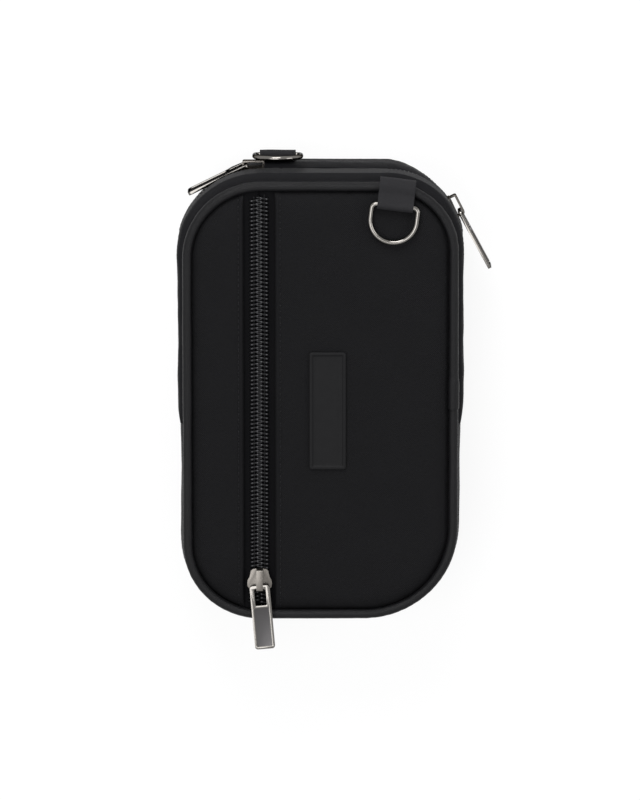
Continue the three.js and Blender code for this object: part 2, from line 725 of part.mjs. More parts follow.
// Back tab: from the seam outside the back piping, up over the rear strip; the ring points forward.
const stripWaistZ = 2 * midZ - stripTopZ + stripSpan * 0.45;
const backLoopU = stripOuter + clearance + loopOuter;
const backTab = tabGeometry((shape) => {
  const seat = stripOuter + clearance;
  shape.moveTo(wrapInner, backPipingZ);
  shape.lineTo(seat - stripBulge * 0.4, stripWaistZ - stripSpan * 0.29);
  shape.lineTo(seat, stripWaistZ - stripSpan * 0.1);
  shape.lineTo(seat, backBarHeight);
  shape.absarc(backLoopU, backBarHeight, loopOuter, Math.PI, -0.32 * Math.PI, true);
  shape.lineTo(seat + strap, backBarHeight - 2 * loopOuter);
  shape.lineTo(seat + strap, stripWaistZ - stripSpan * 0.15);
  shape.lineTo(seat - stripBulge * 0.4 + strap, stripWaistZ - stripSpan * 0.4);
  shape.lineTo(wrapInner + strap, backPipingZ);
}, backLoopU, backBarHeight);
const backTabGroup = new THREE.Group();
backTabGroup.position.set(backTabX, halfHeight, 0);
add('back_tab', backTab, cloth, backTabGroup);
const backRing = add('back_ring', ringGeometry.clone(), nickel, backTabGroup);
backRing.position.set(0, backLoopU, backBarHeight);
backRing.rotation.x = (-90 - backRingTilt) * degree;
model.add(backTabGroup);

// Label patch: a moulded plate with a raised border, its face bare.
const patchFootZ = frontZ + clearance;
const patchTopZ = patchFootZ + patchThickness;
const patchPlate = slab(roundedShape(patchWidth, patchHeight, patchCorner), patchFootZ, patchTopZ);
const patchFace = slab(
  roundedShape(patchWidth - 2 * patchBorder, patchHeight - 2 * patchBorder, patchCorner / 2),
  patchTopZ - patchBorderHeight,
  patchTopZ + cutOverrun,
);
const patch = geometryOf(solid(patchPlate).subtract(solid(patchFace)));
add('label_patch', patch.translate(patchCentreX, patchCentreY, 0), rubber);

// Front foam liner with its foil face, in two fields that meet at the fold.
const linerInset = wallOuterInset + clearance;
const frontFoam = solid(outlineSlab([
  [linerInset + foamThickness * 0.4, frontFoamZ],
  [linerInset, frontFoamZ + foamThickness * 0.4],
  [linerInset, frontFoamZ + foamThickness],
]));
add('front_liner_upper', geometryOf(frontFoam.intersect(upperSpace)), foil);
add('front_liner_lower', geometryOf(frontFoam.intersect(lowerSpace)), foil);

// Back foam liner: floor, a low wall all round and a high wall below the fold.
add('back_liner_floor', outlineSlab([[wallInnerInset + clearance, backFoamZ],
  [wallInnerInset + clearance, backFoamZ + foamThickness]]), foil);
const wallProfile = (fromZ, toZ) => [
  [-wallOuterInset, fromZ],
  [-wallOuterInset, toZ],
  [-wallInnerInset, toZ],
  [-wallInnerInset, fromZ],
];
const lowWallFoot = backPipingZ + pipingRadius + clearance;
const lowWall = wallProfile(lowWallFoot, coverZ - clearance);
add('back_liner_wall', sweep(wholeRim, () => lowWall, true), foil);
const highWallFoot = coverZ + coverThickness + clearance;
const highWall = wallProfile(highWallFoot, frontFoamZ - clearance);
add('lower_liner_wall', sweep(lowerRim(foldGap), () => highWall), foil);

// Two gel packs under a cover sheet.
const packWidth = 2 * (halfWidth - wallInnerInset - packMargin);
const packLength = halfHeight - wallInnerInset - packMargin - packGap / 2;
function gelPack() {
  const bevel = packThickness * 0.3;
  const shape = roundedShape(packWidth - 2 * bevel, packLength - 2 * bevel, packCorner);
  const geometry = new THREE.ExtrudeGeometry(shape, {
    depth: packThickness - 2 * bevel,
    bevelThickness: bevel,
    bevelSize: bevel,
    bevelSegments: 2,
    curveSegments: 3,
  });
  return geometry.translate(0, 0, packZ + bevel);
}
const packCentreY = (packLength + packGap) / 2;
add('ice_pack_upper', gelPack().translate(0, packCentreY, 0), gel);
add('ice_pack_lower', gelPack().translate(0, -packCentreY, 0), gel);
const coverInset = wallOuterInset + wallFoamThickness * 0.6;
add('pack_cover', outlineSlab([[coverInset, coverZ], [coverInset, coverZ + coverThickness]]), foil);

// Pen bands: elastic sewn across the liner, standing off it in loops.
function penBand(centreY) {
  const span = 2 * (halfWidth - penBandInset);
  const samples = penLoopCount * 8;
  const bandTop = frontFoamZ - clearance;
  const rise = (t) => penLoopRise * (1 - Math.cos(2 * Math.PI * penLoopCount * t)) / 2;
  const shape = new THREE.Shape();
  shape.moveTo(-span / 2, bandTop);
  for (let i = 1; i <= samples; i++) {
    shape.lineTo(span * (i / samples - 0.5), bandTop - rise(i / samples));
  }
  for (let i = samples; i >= 0; i--) {
    shape.lineTo(span * (i / samples - 0.5), bandTop - rise(i / samples) - penBandThickness);
  }
  const band = slab(shape, -penBandWidth / 2, penBandWidth / 2);
  return band.rotateX(Math.PI / 2).translate(0, centreY, 0);
}
add('pen_band_upper', penBand(upperPenBandY), elastic);
add('pen_band_lower', penBand(lowerPenBandY), elastic);

export default model;
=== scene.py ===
import math

import bmesh
import bpy
import numpy as np
from mathutils import Matrix, Vector


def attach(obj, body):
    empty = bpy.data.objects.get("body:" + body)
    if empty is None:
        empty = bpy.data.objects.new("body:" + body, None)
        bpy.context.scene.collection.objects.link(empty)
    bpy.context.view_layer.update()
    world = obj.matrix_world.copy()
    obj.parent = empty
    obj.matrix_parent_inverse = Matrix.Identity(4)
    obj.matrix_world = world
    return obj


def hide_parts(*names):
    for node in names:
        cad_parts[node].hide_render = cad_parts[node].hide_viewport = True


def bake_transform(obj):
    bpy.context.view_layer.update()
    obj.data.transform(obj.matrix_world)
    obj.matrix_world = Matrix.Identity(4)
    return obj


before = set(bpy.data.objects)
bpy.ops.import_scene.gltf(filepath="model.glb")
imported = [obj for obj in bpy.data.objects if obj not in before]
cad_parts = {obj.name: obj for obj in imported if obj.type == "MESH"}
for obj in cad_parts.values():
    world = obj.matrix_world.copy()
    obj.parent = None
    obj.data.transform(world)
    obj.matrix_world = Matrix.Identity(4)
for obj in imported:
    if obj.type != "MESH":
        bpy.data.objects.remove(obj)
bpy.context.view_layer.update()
scene = bpy.context.scene
mm = 0.001

# The view of the photograph: a very long lens four metres away, looking down past the case's top
# edge, with the case lying on its back and its top towards the top of the picture.
camera_tilt = math.radians(14.6)
camera_distance = 4000 * mm
camera_lens = 405
aim = Vector((-0.22, 0.8, 50.0)) * mm
back_axis = Vector((0, math.sin(camera_tilt), math.cos(camera_tilt)))
camera = bpy.data.objects.new("photo_camera", bpy.data.cameras.new("photo_camera"))
camera.data.lens = camera_lens
camera.data.sensor_width = 36
camera.data.clip_start = 0.01
camera.matrix_world = (Matrix.Translation(aim + camera_distance * back_axis)
                       @ Matrix.Rotation(-camera_tilt, 4, "X"))
scene.collection.objects.link(camera)
scene.camera = camera
scene.view_settings.view_transform = "Standard"


# Floor and lamps: a white table that the camera sees as plain white with only a faint shadow, and
# three soft lamps. The one beyond the case's top end lights it most, as in the photograph.
class Wire:
    """One socket of a material, so that shader maths reads as arithmetic."""

    def __init__(self, recipe, socket):
        self.recipe = recipe
        self.socket = socket

    def __add__(self, other):
        return self.recipe.maths("ADD", self, other)

    def __sub__(self, other):
        return self.recipe.maths("SUBTRACT", self, other)

    def __rsub__(self, other):
        return self.recipe.maths("SUBTRACT", other, self)

    def __mul__(self, other):
        return self.recipe.maths("MULTIPLY", self, other)

    __radd__ = __add__
    __rmul__ = __mul__


class Recipe:
    def __init__(self, name, world=None):
        self.material = world or bpy.data.materials.new(name)
        self.material.use_nodes = True
        self.tree = self.material.node_tree
        self.surface = self.tree.nodes["Background" if world else "Principled BSDF"]

    def node(self, kind, settings=None, inputs=None, output=0):
        made = self.tree.nodes.new(kind)
        for key, value in (settings or {}).items():
            setattr(made, key, value)
        self.plug(made, inputs or {})
        return Wire(self, made.outputs[output])

    def plug(self, made, inputs):
        for key, value in inputs.items():
            if isinstance(value, Wire):
                self.tree.links.new(value.socket, made.inputs[key])
            else:
                made.inputs[key].default_value = value

    def maths(self, operation, *values):
        return self.node("ShaderNodeMath", {"operation": operation}, dict(enumerate(values)))

    def place(self, kind="Object"):
        return self.node("ShaderNodeTexCoord", output=kind)

    def split(self, vector):
        node = self.node("ShaderNodeSeparateXYZ", None, {0: vector}).socket.node
        return [Wire(self, axis) for axis in node.outputs]

    def noise(self, scale, detail=2.0, source=None):
        inputs = {"Vector": source or self.place(), "Scale": scale, "Detail": detail}
        return self.node("ShaderNodeTexNoise", {"noise_dimensions": "3D"}, inputs)

    def blend(self, factor, low, high):
        return self.node("ShaderNodeMix", {"data_type": "RGBA"}, {0: factor, 6: low, 7: high}, 2)

    def bump(self, height, strength, distance):
        inputs = {"Height": height, "Strength": strength, "Distance": distance}
        return self.node("ShaderNodeBump", None, inputs)

    def finish(self, **inputs):
        self.plug(self.surface, {key.replace("_", " "): value for key, value in inputs.items()})
        return self.material


floor_size = 6.0
floor_level = -0.1 * mm
shadow_keep = 0.12


def backdrop_rays(recipe):
    """1 for rays that meet the backdrop: from the camera, mirrored, or passed through."""
    rays = recipe.node("ShaderNodeLightPath").socket.node
    seen, mirrored, passed = (Wire(recipe, rays.outputs[kind])
                              for kind in ("Is Camera Ray", "Is Glossy Ray", "Is Transmission Ray"))
    return seen + mirrored + passed


floor_mesh = bpy.data.meshes.new("floor")
floor_corners = [(-1, -1), (1, -1), (1, 1), (-1, 1)]
floor_mesh.from_pydata([(x * floor_size, y * floor_size, floor_level) for x, y in floor_corners], [],
                       [(0, 1, 2, 3)])
floor = bpy.data.objects.new("floor", floor_mesh)
scene.collection.objects.link(floor)
table = Recipe("white table")
table.finish(Base_Color=(0.9, 0.9, 0.9, 1), Roughness=0.9)
glow = table.node("ShaderNodeEmission", None, {"Color": (1, 1, 1, 1), "Strength": 1.0})
mixed = table.node("ShaderNodeMixShader", None, {
    0: backdrop_rays(table) * (1 - shadow_keep), 1: Wire(table, table.surface.outputs[0]), 2: glow})
table.plug(table.tree.nodes["Material Output"], {0: mixed})
floor_mesh.materials.append(table.material)

scene.world = bpy.data.worlds.new("studio")
studio = Recipe("studio", scene.world)
studio.finish(Color=studio.blend(backdrop_rays(studio), (0.42, 0.42, 0.43, 1), (1, 1, 1, 1)))

lamp_aim = Vector((0, 0, 30)) * mm
lamps = [
    ("top_lamp", (-0.10, 0.75, 0.55), 0.5, 7.0),
    ("front_lamp", (-0.35, -0.10, 1.20), 0.8, 9.0),
    ("side_lamp", (0.80, 0.20, 0.60), 0.5, 3.0),
]
for name, spot, size, power in lamps:
    lamp = bpy.data.lights.new(name, "AREA")
    lamp.size = size
    lamp.energy = power
    holder = bpy.data.objects.new(name, lamp)
    holder.location = spot
    holder.rotation_euler = (Vector(spot) - lamp_aim).to_track_quat("Z", "Y").to_euler()
    scene.collection.objects.link(holder)


# The case's outline on the piping's centre line: straight sides with four round corners, the lower
# right one the softest. Every panel, cord and strip takes its shape from it.
half_width = 59.2
top_y = 97.7
low_y = -98.7
corner_radius = {(1, 1): 30.0, (-1, 1): 33.0, (-1, -1): 32.2, (1, -1): 40.0}
fold_y = -12.0
fold_gap = 0.15
middle_z = 25.0


def run_length(points):
    """The distance along a line of points, from its first one."""
    return np.concatenate([[0], np.cumsum(np.hypot(*np.diff(points, axis=0).T))])


def rim_table():
    """Points, outward normals and distance round the outline, from the fold on the right side."""
    rows = [(half_width, fold_y, 1.0, 0.0)]
    for (side, level), first in zip([(1, 1), (-1, 1), (-1, -1), (1, -1)], (0, 90, 180, 270)):
        radius = corner_radius[(side, level)]
        centre_x, centre_y = side * (half_width - radius), (top_y if level > 0 else low_y) - level * radius
        for angle in np.radians(np.linspace(first, first + 90, 61)):
            nx, ny = math.cos(angle), math.sin(angle)
            rows.append((centre_x + radius * nx, centre_y + radius * ny, nx, ny))
    table = np.array(rows + rows[:1])
    return run_length(table[:, :2]), table


rim_length, rim_rows = rim_table()
whole_rim = rim_length[-1]


def rim_at(distance, left_sag=0.0, right_sag=0.0):
    """The outline's point and outward normal at each distance, its top corners let in by the sags."""
    wrapped = np.mod(distance, whole_rim)
    x, y, nx, ny = (np.interp(wrapped, rim_length, rim_rows[:, k]) for k in range(4))
    size = np.hypot(nx, ny)
    nx, ny = nx / size, ny / size
    sag = np.where(x > 0, right_sag, left_sag) * (2 * np.abs(nx * ny)) ** 1.5 * (y > 0)
    return x - nx * sag, y - ny * sag, nx, ny


def depth_inside(x, y):
    """Distance inward from the outline."""
    upper = np.where(x > 0, corner_radius[(1, 1)], corner_radius[(-1, 1)])
    lower = np.where(x > 0, corner_radius[(1, -1)], corner_radius[(-1, -1)])
    radius = np.where(y > 0, upper, lower)
    across = np.abs(x) - (half_width - radius)
    along = np.where(y > 0, y - top_y, low_y - y) + radius
    outside = np.hypot(np.maximum(across, 0), np.maximum(along, 0))
    return radius - outside - np.minimum(np.maximum(across, along), 0)


def side_x(y, side, inset):
    """Where a row across the case meets the outline moved inward."""
    level = np.where(y > 0, 1, -1)
    radius = np.where(level > 0, corner_radius[(side, 1)], corner_radius[(side, -1)])
    above = np.maximum(np.where(y > 0, y - top_y, low_y - y) + radius, 0)
    reach = np.sqrt(np.maximum((radius - inset) ** 2 - above ** 2, 0))
    return side * (half_width - radius + reach)


def end_y(x, level, inset):
    """Where a column up the case meets the outline moved inward."""
    radius = np.where(x > 0, corner_radius[(1, level)], corner_radius[(-1, level)])
    past = np.maximum(np.abs(x) - (half_width - radius), 0)
    reach = np.sqrt(np.maximum((radius - inset) ** 2 - past ** 2, 0))
    return (top_y if level > 0 else low_y) + level * (reach - radius)


# Cloths: a plain weave with slubs for the panels, a tighter satin for the piping, and plain tape.
# The threads follow each piece's own cloth coordinates, so they bend with it.
def shaded(colour, share):
    """A colour made darker or lighter, as red, green, blue and 1."""
    return tuple(part * share for part in colour[:3]) + (1,)


def woven(name, colour, pitch, roughness, relief, slub=0.25, gloss=0.1):
    recipe = Recipe(name)
    cloth = recipe.place("UV")
    across, along, _ = recipe.split(cloth)
    turn = 2 * math.pi / (pitch * mm)
    warp = recipe.maths("SINE", across * turn)
    weft = recipe.maths("SINE", along * turn)
    uneven = recipe.noise(900, 2, cloth)
    broad = recipe.noise(40, 3, cloth)
    threads = warp * weft * 0.5 + (uneven - 0.5) * slub * 4
    shade = threads * 0.34 + (broad - 0.5) * 0.5 + 1.0
    return recipe.finish(
        Base_Color=recipe.blend(shade * 0.5, shaded(colour, 0.55), shaded(colour, 1.45)),
        Roughness=roughness + (uneven - 0.5) * 0.2,
        Normal=recipe.bump(threads, relief, 0.0002),
        Specular_IOR_Level=gloss,
    )


panel_cloth = woven("oxford cloth", (0.0064, 0.0064, 0.007, 1), 0.9, 0.7, 1.0, 0.4, gloss=0.05)
gusset_cloth = woven("gusset cloth", (0.0062, 0.0062, 0.0071, 1), 0.62, 0.5, 0.5, gloss=0.06)
satin_cloth = woven("piping satin", (0.0056, 0.0056, 0.0062, 1), 0.36, 0.34, 0.3, 0.15, gloss=0.11)
tape_cloth = woven("zip tape", (0.0042, 0.0042, 0.0047, 1), 0.8, 0.85, 0.6, gloss=0.03)


# Thread and nylon, and how their small pieces repeat: a stitch or a turn of the coil is one short bent
# tube, set at points that carry the directions of its length and of its top.
def spun(name, colour, roughness, gloss):
    recipe = Recipe(name)
    fibre = recipe.noise(2600, 2)
    return recipe.finish(
        Base_Color=recipe.blend(fibre, shaded(colour, 0.5), shaded(colour, 1.5)),
        Roughness=roughness + (fibre - 0.5) * 0.15,
        Specular_IOR_Level=gloss,
    )


nylon = spun("nylon coil", (0.007, 0.007, 0.0077), 0.3, 0.115)
thread = spun("sewing thread", (0.013, 0.013, 0.0145), 0.5, 0.12)


def mesh_piece(name, points, faces, material, uv):
    """A new object from points in millimetres, named as the dress of its solid."""
    name = f"{name}_dressed"
    mesh = bpy.data.meshes.new(name)
    mesh.from_pydata([tuple(p) for p in np.asarray(points).reshape(-1, 3) * mm], [], faces)
    mesh.materials.append(material)
    mesh.shade_smooth()
    mesh.uv_layers.new(name="cloth")
    lay_cloth(mesh, uv)
    work = bmesh.new()
    work.from_mesh(mesh)
    bmesh.ops.recalc_face_normals(work, faces=work.faces)
    work.to_mesh(mesh)
    work.free()
    made = bpy.data.objects.new(name, mesh)
    scene.collection.objects.link(made)
    return made


def lay_cloth(mesh, uv):
    """Sets each point's place on its cloth, in millimetres, as the mesh's UV map."""
    corners = np.zeros(len(mesh.loops), np.int64)
    mesh.loops.foreach_get("vertex_index", corners)
    mesh.uv_layers[0].data.foreach_set("uv", (np.asarray(uv).reshape(-1, 2)[corners] * mm).ravel())


def swept(name, rings, material, closed, along, around):
    """A tube through rings of points, closed on itself or capped."""
    count, sides = rings.shape[:2]
    faces = []
    for i in range(count if closed else count - 1):
        j = (i + 1) % count
        for k in range(sides):
            m = (k + 1) % sides
            faces.append((i * sides + k, i * sides + m, j * sides + m, j * sides + k))
    if not closed:
        faces.append(tuple(range(sides)))
        faces.append(tuple(range(count * sides - 1, (count - 1) * sides - 1, -1)))
    uv = np.stack(np.broadcast_arrays(np.asarray(along)[:, None], np.asarray(around)[None, :]), -1)
    return mesh_piece(name, rings, faces, material, uv)


def repeat_tree():
    tree = bpy.data.node_groups.new("repeat on points", "GeometryNodeTree")
    face = tree.interface
    for name, kind in (("Points", "Geometry"), ("Item", "Object"), ("Finish", "Material")):
        face.new_socket(name, in_out="INPUT", socket_type=f"NodeSocket{kind}")
    face.new_socket("Pieces", in_out="OUTPUT", socket_type="NodeSocketGeometry")

    def node(kind, links=(), **settings):
        made = tree.nodes.new(kind)
        for key, value in settings.items():
            setattr(made, key, value)
        for source, name in links:
            tree.links.new(source, made.inputs[name])
        return made

    given = node("NodeGroupInput")
    item = node("GeometryNodeObjectInfo", [(given.outputs["Item"], "Object")])
    turned = None
    for name, axis in (("along", "Y"), ("up", "Z")):
        way = node("GeometryNodeInputNamedAttribute", data_type="FLOAT_VECTOR")
        way.inputs["Name"].default_value = name
        links = [(way.outputs["Attribute"], "Vector")]
        if turned:
            links.append((turned.outputs[0], "Rotation"))
        turned = node("FunctionNodeAlignRotationToVector", links, axis=axis,
                      pivot_axis="Y" if turned else "AUTO")
    placed = node("GeometryNodeInstanceOnPoints", [
        (given.outputs["Points"], "Points"), (item.outputs["Geometry"], "Instance"),
        (turned.outputs[0], "Rotation")])
    real = node("GeometryNodeRealizeInstances", [(placed.outputs[0], "Geometry")])
    coated = node("GeometryNodeSetMaterial", [
        (real.outputs[0], "Geometry"), (given.outputs["Finish"], "Material")])
    node("NodeGroupOutput", [(coated.outputs[0], "Pieces")])
    return tree


repeats = repeat_tree()


def repeated(name, item, points, material, along=(0, 1, 0), up=(0, 0, 1)):
    """One piece made of an item set at each point, its Y along and its Z up."""
    mesh = bpy.data.meshes.new(name + " points")
    mesh.from_pydata([tuple(p) for p in np.asarray(points) * mm], [], [])
    for key, values in (("along", along), ("up", up)):
        layer = mesh.attributes.new(key, "FLOAT_VECTOR", "POINT").data
        layer.foreach_set("vector", np.broadcast_to(values, (len(points), 3)).astype(float).ravel())
    holder = bpy.data.objects.new(name + " points", mesh)
    scene.collection.objects.link(holder)
    modifier = holder.modifiers.new("repeat", "NODES")
    modifier.node_group = repeats
    given = {"Item": item, "Finish": material}
    for socket in repeats.interface.items_tree:
        if socket.name in given:
            modifier[socket.identifier] = given[socket.name]
    graph = bpy.context.evaluated_depsgraph_get()
    solid = bpy.data.meshes.new_from_object(holder.evaluated_get(graph), depsgraph=graph)
    solid.name = name
    bpy.data.objects.remove(holder)
    made = bpy.data.objects.new(name, solid)
    scene.collection.objects.link(made)
    return made


def curve_between(points, t):
    """The smooth curve between the middle two of four points."""
    p0, p1, p2, p3 = points
    return 0.5 * (2 * p1 + (p2 - p0) * t + (2 * p0 - 5 * p1 + 4 * p2 - p3) * t ** 2
                  + (3 * p1 - p0 - 3 * p2 + p3) * t ** 3)


def bent_tube(name, path, radii, sides, material):
    """A capped round bar with a radius at each point of its path, hidden, to be repeated."""
    path, radii = np.asarray(path, float), np.asarray(radii, float)
    steps = np.linspace(0, len(path) - 1, len(path) + 2)
    i = np.minimum(steps.astype(int), len(path) - 2)
    wide = np.concatenate([[2 * path[0] - path[1]], path, [2 * path[-1] - path[-2]]])
    line = curve_between([wide[i + k] for k in range(4)], (steps - i)[:, None])
    size = np.interp(steps, range(len(radii)), radii)
    way = np.gradient(line, axis=0)
    way /= np.linalg.norm(way, axis=1)[:, None]
    aside = np.cross(way, (0.03, 1, 0.01))
    aside /= np.linalg.norm(aside, axis=1)[:, None]
    other = np.cross(way, aside)
    turn = np.linspace(0, 2 * math.pi, sides, endpoint=False)
    rings = line[:, None] + size[:, None, None] * (
        aside[:, None] * np.cos(turn)[None, :, None] + other[:, None] * np.sin(turn)[None, :, None])
    item = swept(name, rings, material, False, steps, turn)
    item.hide_render = True
    return item


def join(name, first, *others):
    """Joins pieces into the first one, each face keeping its finish."""
    work = bmesh.new()
    finishes = {finish.name: finish for piece in (first, *others) for finish in piece.data.materials}
    names = list(finishes)
    for piece in (first, *others):
        before = len(work.faces)
        work.from_mesh(piece.data)
        work.faces.ensure_lookup_table()
        own = [names.index(finish.name) for finish in piece.data.materials]
        for face in work.faces[before:]:
            face.material_index = own[face.material_index]
    work.to_mesh(first.data)
    work.free()
    for name_of_finish in names[len(first.data.materials):]:
        first.data.materials.append(finishes[name_of_finish])
    for piece in others:
        bpy.data.objects.remove(piece)
    first.name = f"{name}_dressed"
    return first


# Front panels: one cushioned sheet each side of the pocket zip. They crown up from the piping seam,
# are gathered a little along it, and end at the zip in a folded welt pressed down by its stitches.
topstitch = bent_tube("topstitch", [(0, -0.95, -0.25), (0, -0.5, 0.06), (0, 0.5, 0.06), (0, 0.95, -0.25)],
                      [0.14, 0.19, 0.19, 0.14], 5, thread)
panel_inset = 0.6
panel_foot = 44.6
tape_cover = 47.4
welt_round = 1.1
zip_x = -27.2
welt_edges = {-1: -34.1, 1: -20.3}
under_edges = {-1: -37.0, 1: -17.4}
stitch_x = {-1: -36.4, 1: -17.9}
stitch_pitch = 2.7
crown_at = [0.6, 1.2, 1.7, 2.2, 2.6, 3.0, 3.6, 4.6, 6.0, 8.0, 11.0, 14.6, 30.0]
crown_z = [45.25, 45.4, 45.6, 46.0, 46.4, 47.1, 47.8, 48.5, 49.1, 49.6, 49.9, 50.0, 50.0]


def ripple(x, y, seed, length, waves=7):
    """A soft uneven surface between about -1 and 1, the same on every run."""
    draw = np.random.default_rng(seed)
    total = np.zeros(np.broadcast(x, y).shape)
    for turn, phase, stretch in draw.uniform(0, 1, (waves, 3)):
        k = 2 * math.pi / (length * (0.6 + stretch))
        total += np.sin(k * (x * math.cos(6.28 * turn) + y * math.sin(6.28 * turn)) + 6.28 * phase)
    return total / math.sqrt(waves) / 1.4


def closed_sheet(name, top, bottom, material):
    """A thin solid between an upper and a lower grid of points."""
    rows, columns = top.shape[:2]
    index = np.arange(rows * columns).reshape(rows, columns)
    a, b, c, d = index[:-1, :-1], index[:-1, 1:], index[1:, 1:], index[1:, :-1]
    upper = np.stack([a, b, c, d], -1).reshape(-1, 4)
    faces = [tuple(f) for f in upper] + [tuple(f[::-1] + rows * columns) for f in upper]
    edge = np.concatenate([index[0, :-1], index[:-1, -1], index[-1, :0:-1], index[:0:-1, 0]])
    below = edge + rows * columns
    for i in range(len(edge)):
        j = (i + 1) % len(edge)
        faces.append((edge[i], below[i], below[j], edge[j]))
    points = np.concatenate([top.reshape(-1, 3), bottom.reshape(-1, 3)])
    return mesh_piece(name, points, faces, material, points[:, :2])


def slab(name, x, y, top, foot, material):
    """A closed sheet over one grid, from the heights of its two faces."""
    upper, lower = (np.stack(np.broadcast_arrays(x, y, z), -1) for z in (top, foot))
    return closed_sheet(name, upper, lower, material)


def bend_at_fold(made):
    """Bakes a piece's placement into its mesh, leaving it on no body."""
    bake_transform(made)


def rounded(share):
    """A quarter round that rises from 0 at the edge to 1 where the share reaches 1."""
    return np.sqrt(np.clip(1 - (1 - np.clip(share, 0, 1)) ** 2, 0, 1))


def panel_grid(side, rows=190, columns=90):
    """Columns from the zip to the rim, closest together at the welt and at the seam."""
    slot = welt_edges[side]
    ends = [end_y(slot, level, panel_inset) for level in (1, -1)]
    sweep = np.linspace(0, math.pi, rows)
    spread = 0.75 * np.cos(sweep) + 0.25 * (1 - 2 * sweep / math.pi)
    y = (ends[0] + ends[1]) / 2 - (ends[0] - ends[1]) / 2 * spread
    share = (1 - np.cos(np.linspace(0, math.pi, columns))) / 2
    share = 0.6 * share + 0.4 * np.linspace(0, 1, columns)
    rim = side_x(y, side, panel_inset)
    rim = np.where((rim - slot) * side < 0.6, slot + side * 0.6, rim)
    x = slot + (rim - slot)[:, None] * share[None, :]
    return x, np.broadcast_to(y[:, None], x.shape)


def panel_height(x, y, side, seed):
    from_welt = np.abs(x - welt_edges[side])
    inside = np.maximum(depth_inside(x, y), panel_inset)
    top = np.interp(inside, crown_at, crown_z)
    loose = np.clip((inside - 3) / 6, 0, 1) * np.clip((from_welt - 3) / 5, 0, 1)
    top += 0.16 * loose * ripple(x, y, seed, 60) + 0.05 * loose * ripple(x, y, seed + 1, 16)
    angle = np.arctan2(y, x * 1.6)
    gather = np.exp(-np.maximum(inside - 2.6, 0) / 3.2) * np.clip((from_welt - 2) / 4, 0, 1)
    top += 0.14 * gather * np.sin(46 * angle + 2.1 * ripple(x, y, seed + 2, 30))
    welt = np.clip(1 - (from_welt - 2.1) / 0.7, 0, 1)
    welt = welt * welt * (3 - 2 * welt)
    seam = np.exp(-((x - stitch_x[side]) / 0.42) ** 2)
    top += 0.42 * welt - 0.3 * seam * (1 + 0.4 * ripple(x, y, seed + 3, 5))
    roll = rounded(from_welt / welt_round)
    return tape_cover + 0.5 + (top - tape_cover - 0.5) * roll


def front_panel(side, word, seed):
    name = f"front_panel_{word}"
    x, y = panel_grid(side)
    top = panel_height(x, y, side, seed)
    foot = np.where((x - under_edges[side]) * side < 0, tape_cover, panel_foot)
    foot = np.minimum(foot, top - 0.4)
    made = slab(name, x, y, top, foot, panel_cloth)
    row = np.arange(end_y(stitch_x[side], -1, 4.5), end_y(stitch_x[side], 1, 4.5), stitch_pitch)
    column = np.full(len(row), stitch_x[side])
    seats = np.stack([column, row, panel_height(column, row, side, seed) + 0.06], -1)
    made = join(name, made, repeated("topstitches", topstitch, seats, thread))
    bend_at_fold(made)
    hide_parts(f"{name}_upper", f"{name}_lower")


front_panel(-1, "left", 11)
front_panel(1, "right", 23)


# Piping: a satin cord sewn all round each face, with fine wrinkles across it that crowd together in
# the corners. The front one has its overlapped joint on the right side.
piping_radius = 2.3
front_piping_z = 47.4
back_piping_z = 2.6
back_sags = (1.5, 2.0)


def rim_rings(place, out, level):
    """Rings of points that stand out from a rim's places, each at its level."""
    x, y, nx, ny = (part[:, None] for part in place)
    return np.stack(np.broadcast_arrays(x + nx * out, y + ny * out, level), -1)


def corner_bend(nx, ny, step):
    """How sharply the rim turns at each point: about 1 in a 28 mm corner."""
    return np.abs(np.gradient(np.unwrap(np.arctan2(ny, nx)))) / step * 28


def rim_distance(x, y):
    """How far round the outline a point of it lies."""
    steps = np.arange(0, whole_rim, 0.05)
    rim_x, rim_y = rim_at(steps)[:2]
    return steps[np.argmin(np.hypot(rim_x - x, rim_y - y))]


def dress(made, node, body=None):
    """Hides a piece's solid, and sets the piece riding on a body or else bakes its placement into its
    mesh.
    """
    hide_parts(node)
    if body:
        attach(made, body)
    else:
        bend_at_fold(made)


def piping(name, body, level, seed, joint=None, sags=(0.0, 0.0)):
    count, sides = 900, 20
    distance = np.linspace(0, whole_rim, count, endpoint=False)
    around = np.linspace(0, 2 * math.pi, sides, endpoint=False)
    place = rim_at(distance, *sags)
    bend = corner_bend(*place[2:], whole_rim / count)
    draw = np.random.default_rng(seed)
    swell = np.zeros((count, sides))
    for waves, size in ((7, 0.06), (19, 0.05), (90, 0.035), (170, 0.03)):
        phase = draw.uniform(0, 6.28)
        twist = draw.uniform(-2, 2)
        amount = size * (1 if waves < 50 else 0.5 + 0.8 * np.clip(bend, 0, 1))
        envelope = 0.6 + 0.4 * np.sin(distance / whole_rim * 6.28 * draw.integers(5, 17) + phase)
        wave = np.sin(2 * math.pi * waves * distance[:, None] / whole_rim + phase
                      + twist * np.cos(around + phase)[None, :])
        swell += (amount * envelope)[:, None] * wave
    if joint is not None:
        apart = distance - rim_distance(*joint)
        lap = np.clip(apart / 0.5 + 0.5, 0, 1) * np.clip((15 - apart) / 3, 0, 1)
        swell += 0.4 * lap[:, None]
    radius = piping_radius - 0.2 + swell
    rings = rim_rings(place, radius * np.cos(around), level + radius * np.sin(around))
    dress(swept(name, rings, satin_cloth, True, distance, around * piping_radius), name, body)


piping("front_piping", None, front_piping_z, 5, joint=(half_width, -4.0))
piping("back_piping", "case", back_piping_z, 8, sags=back_sags)


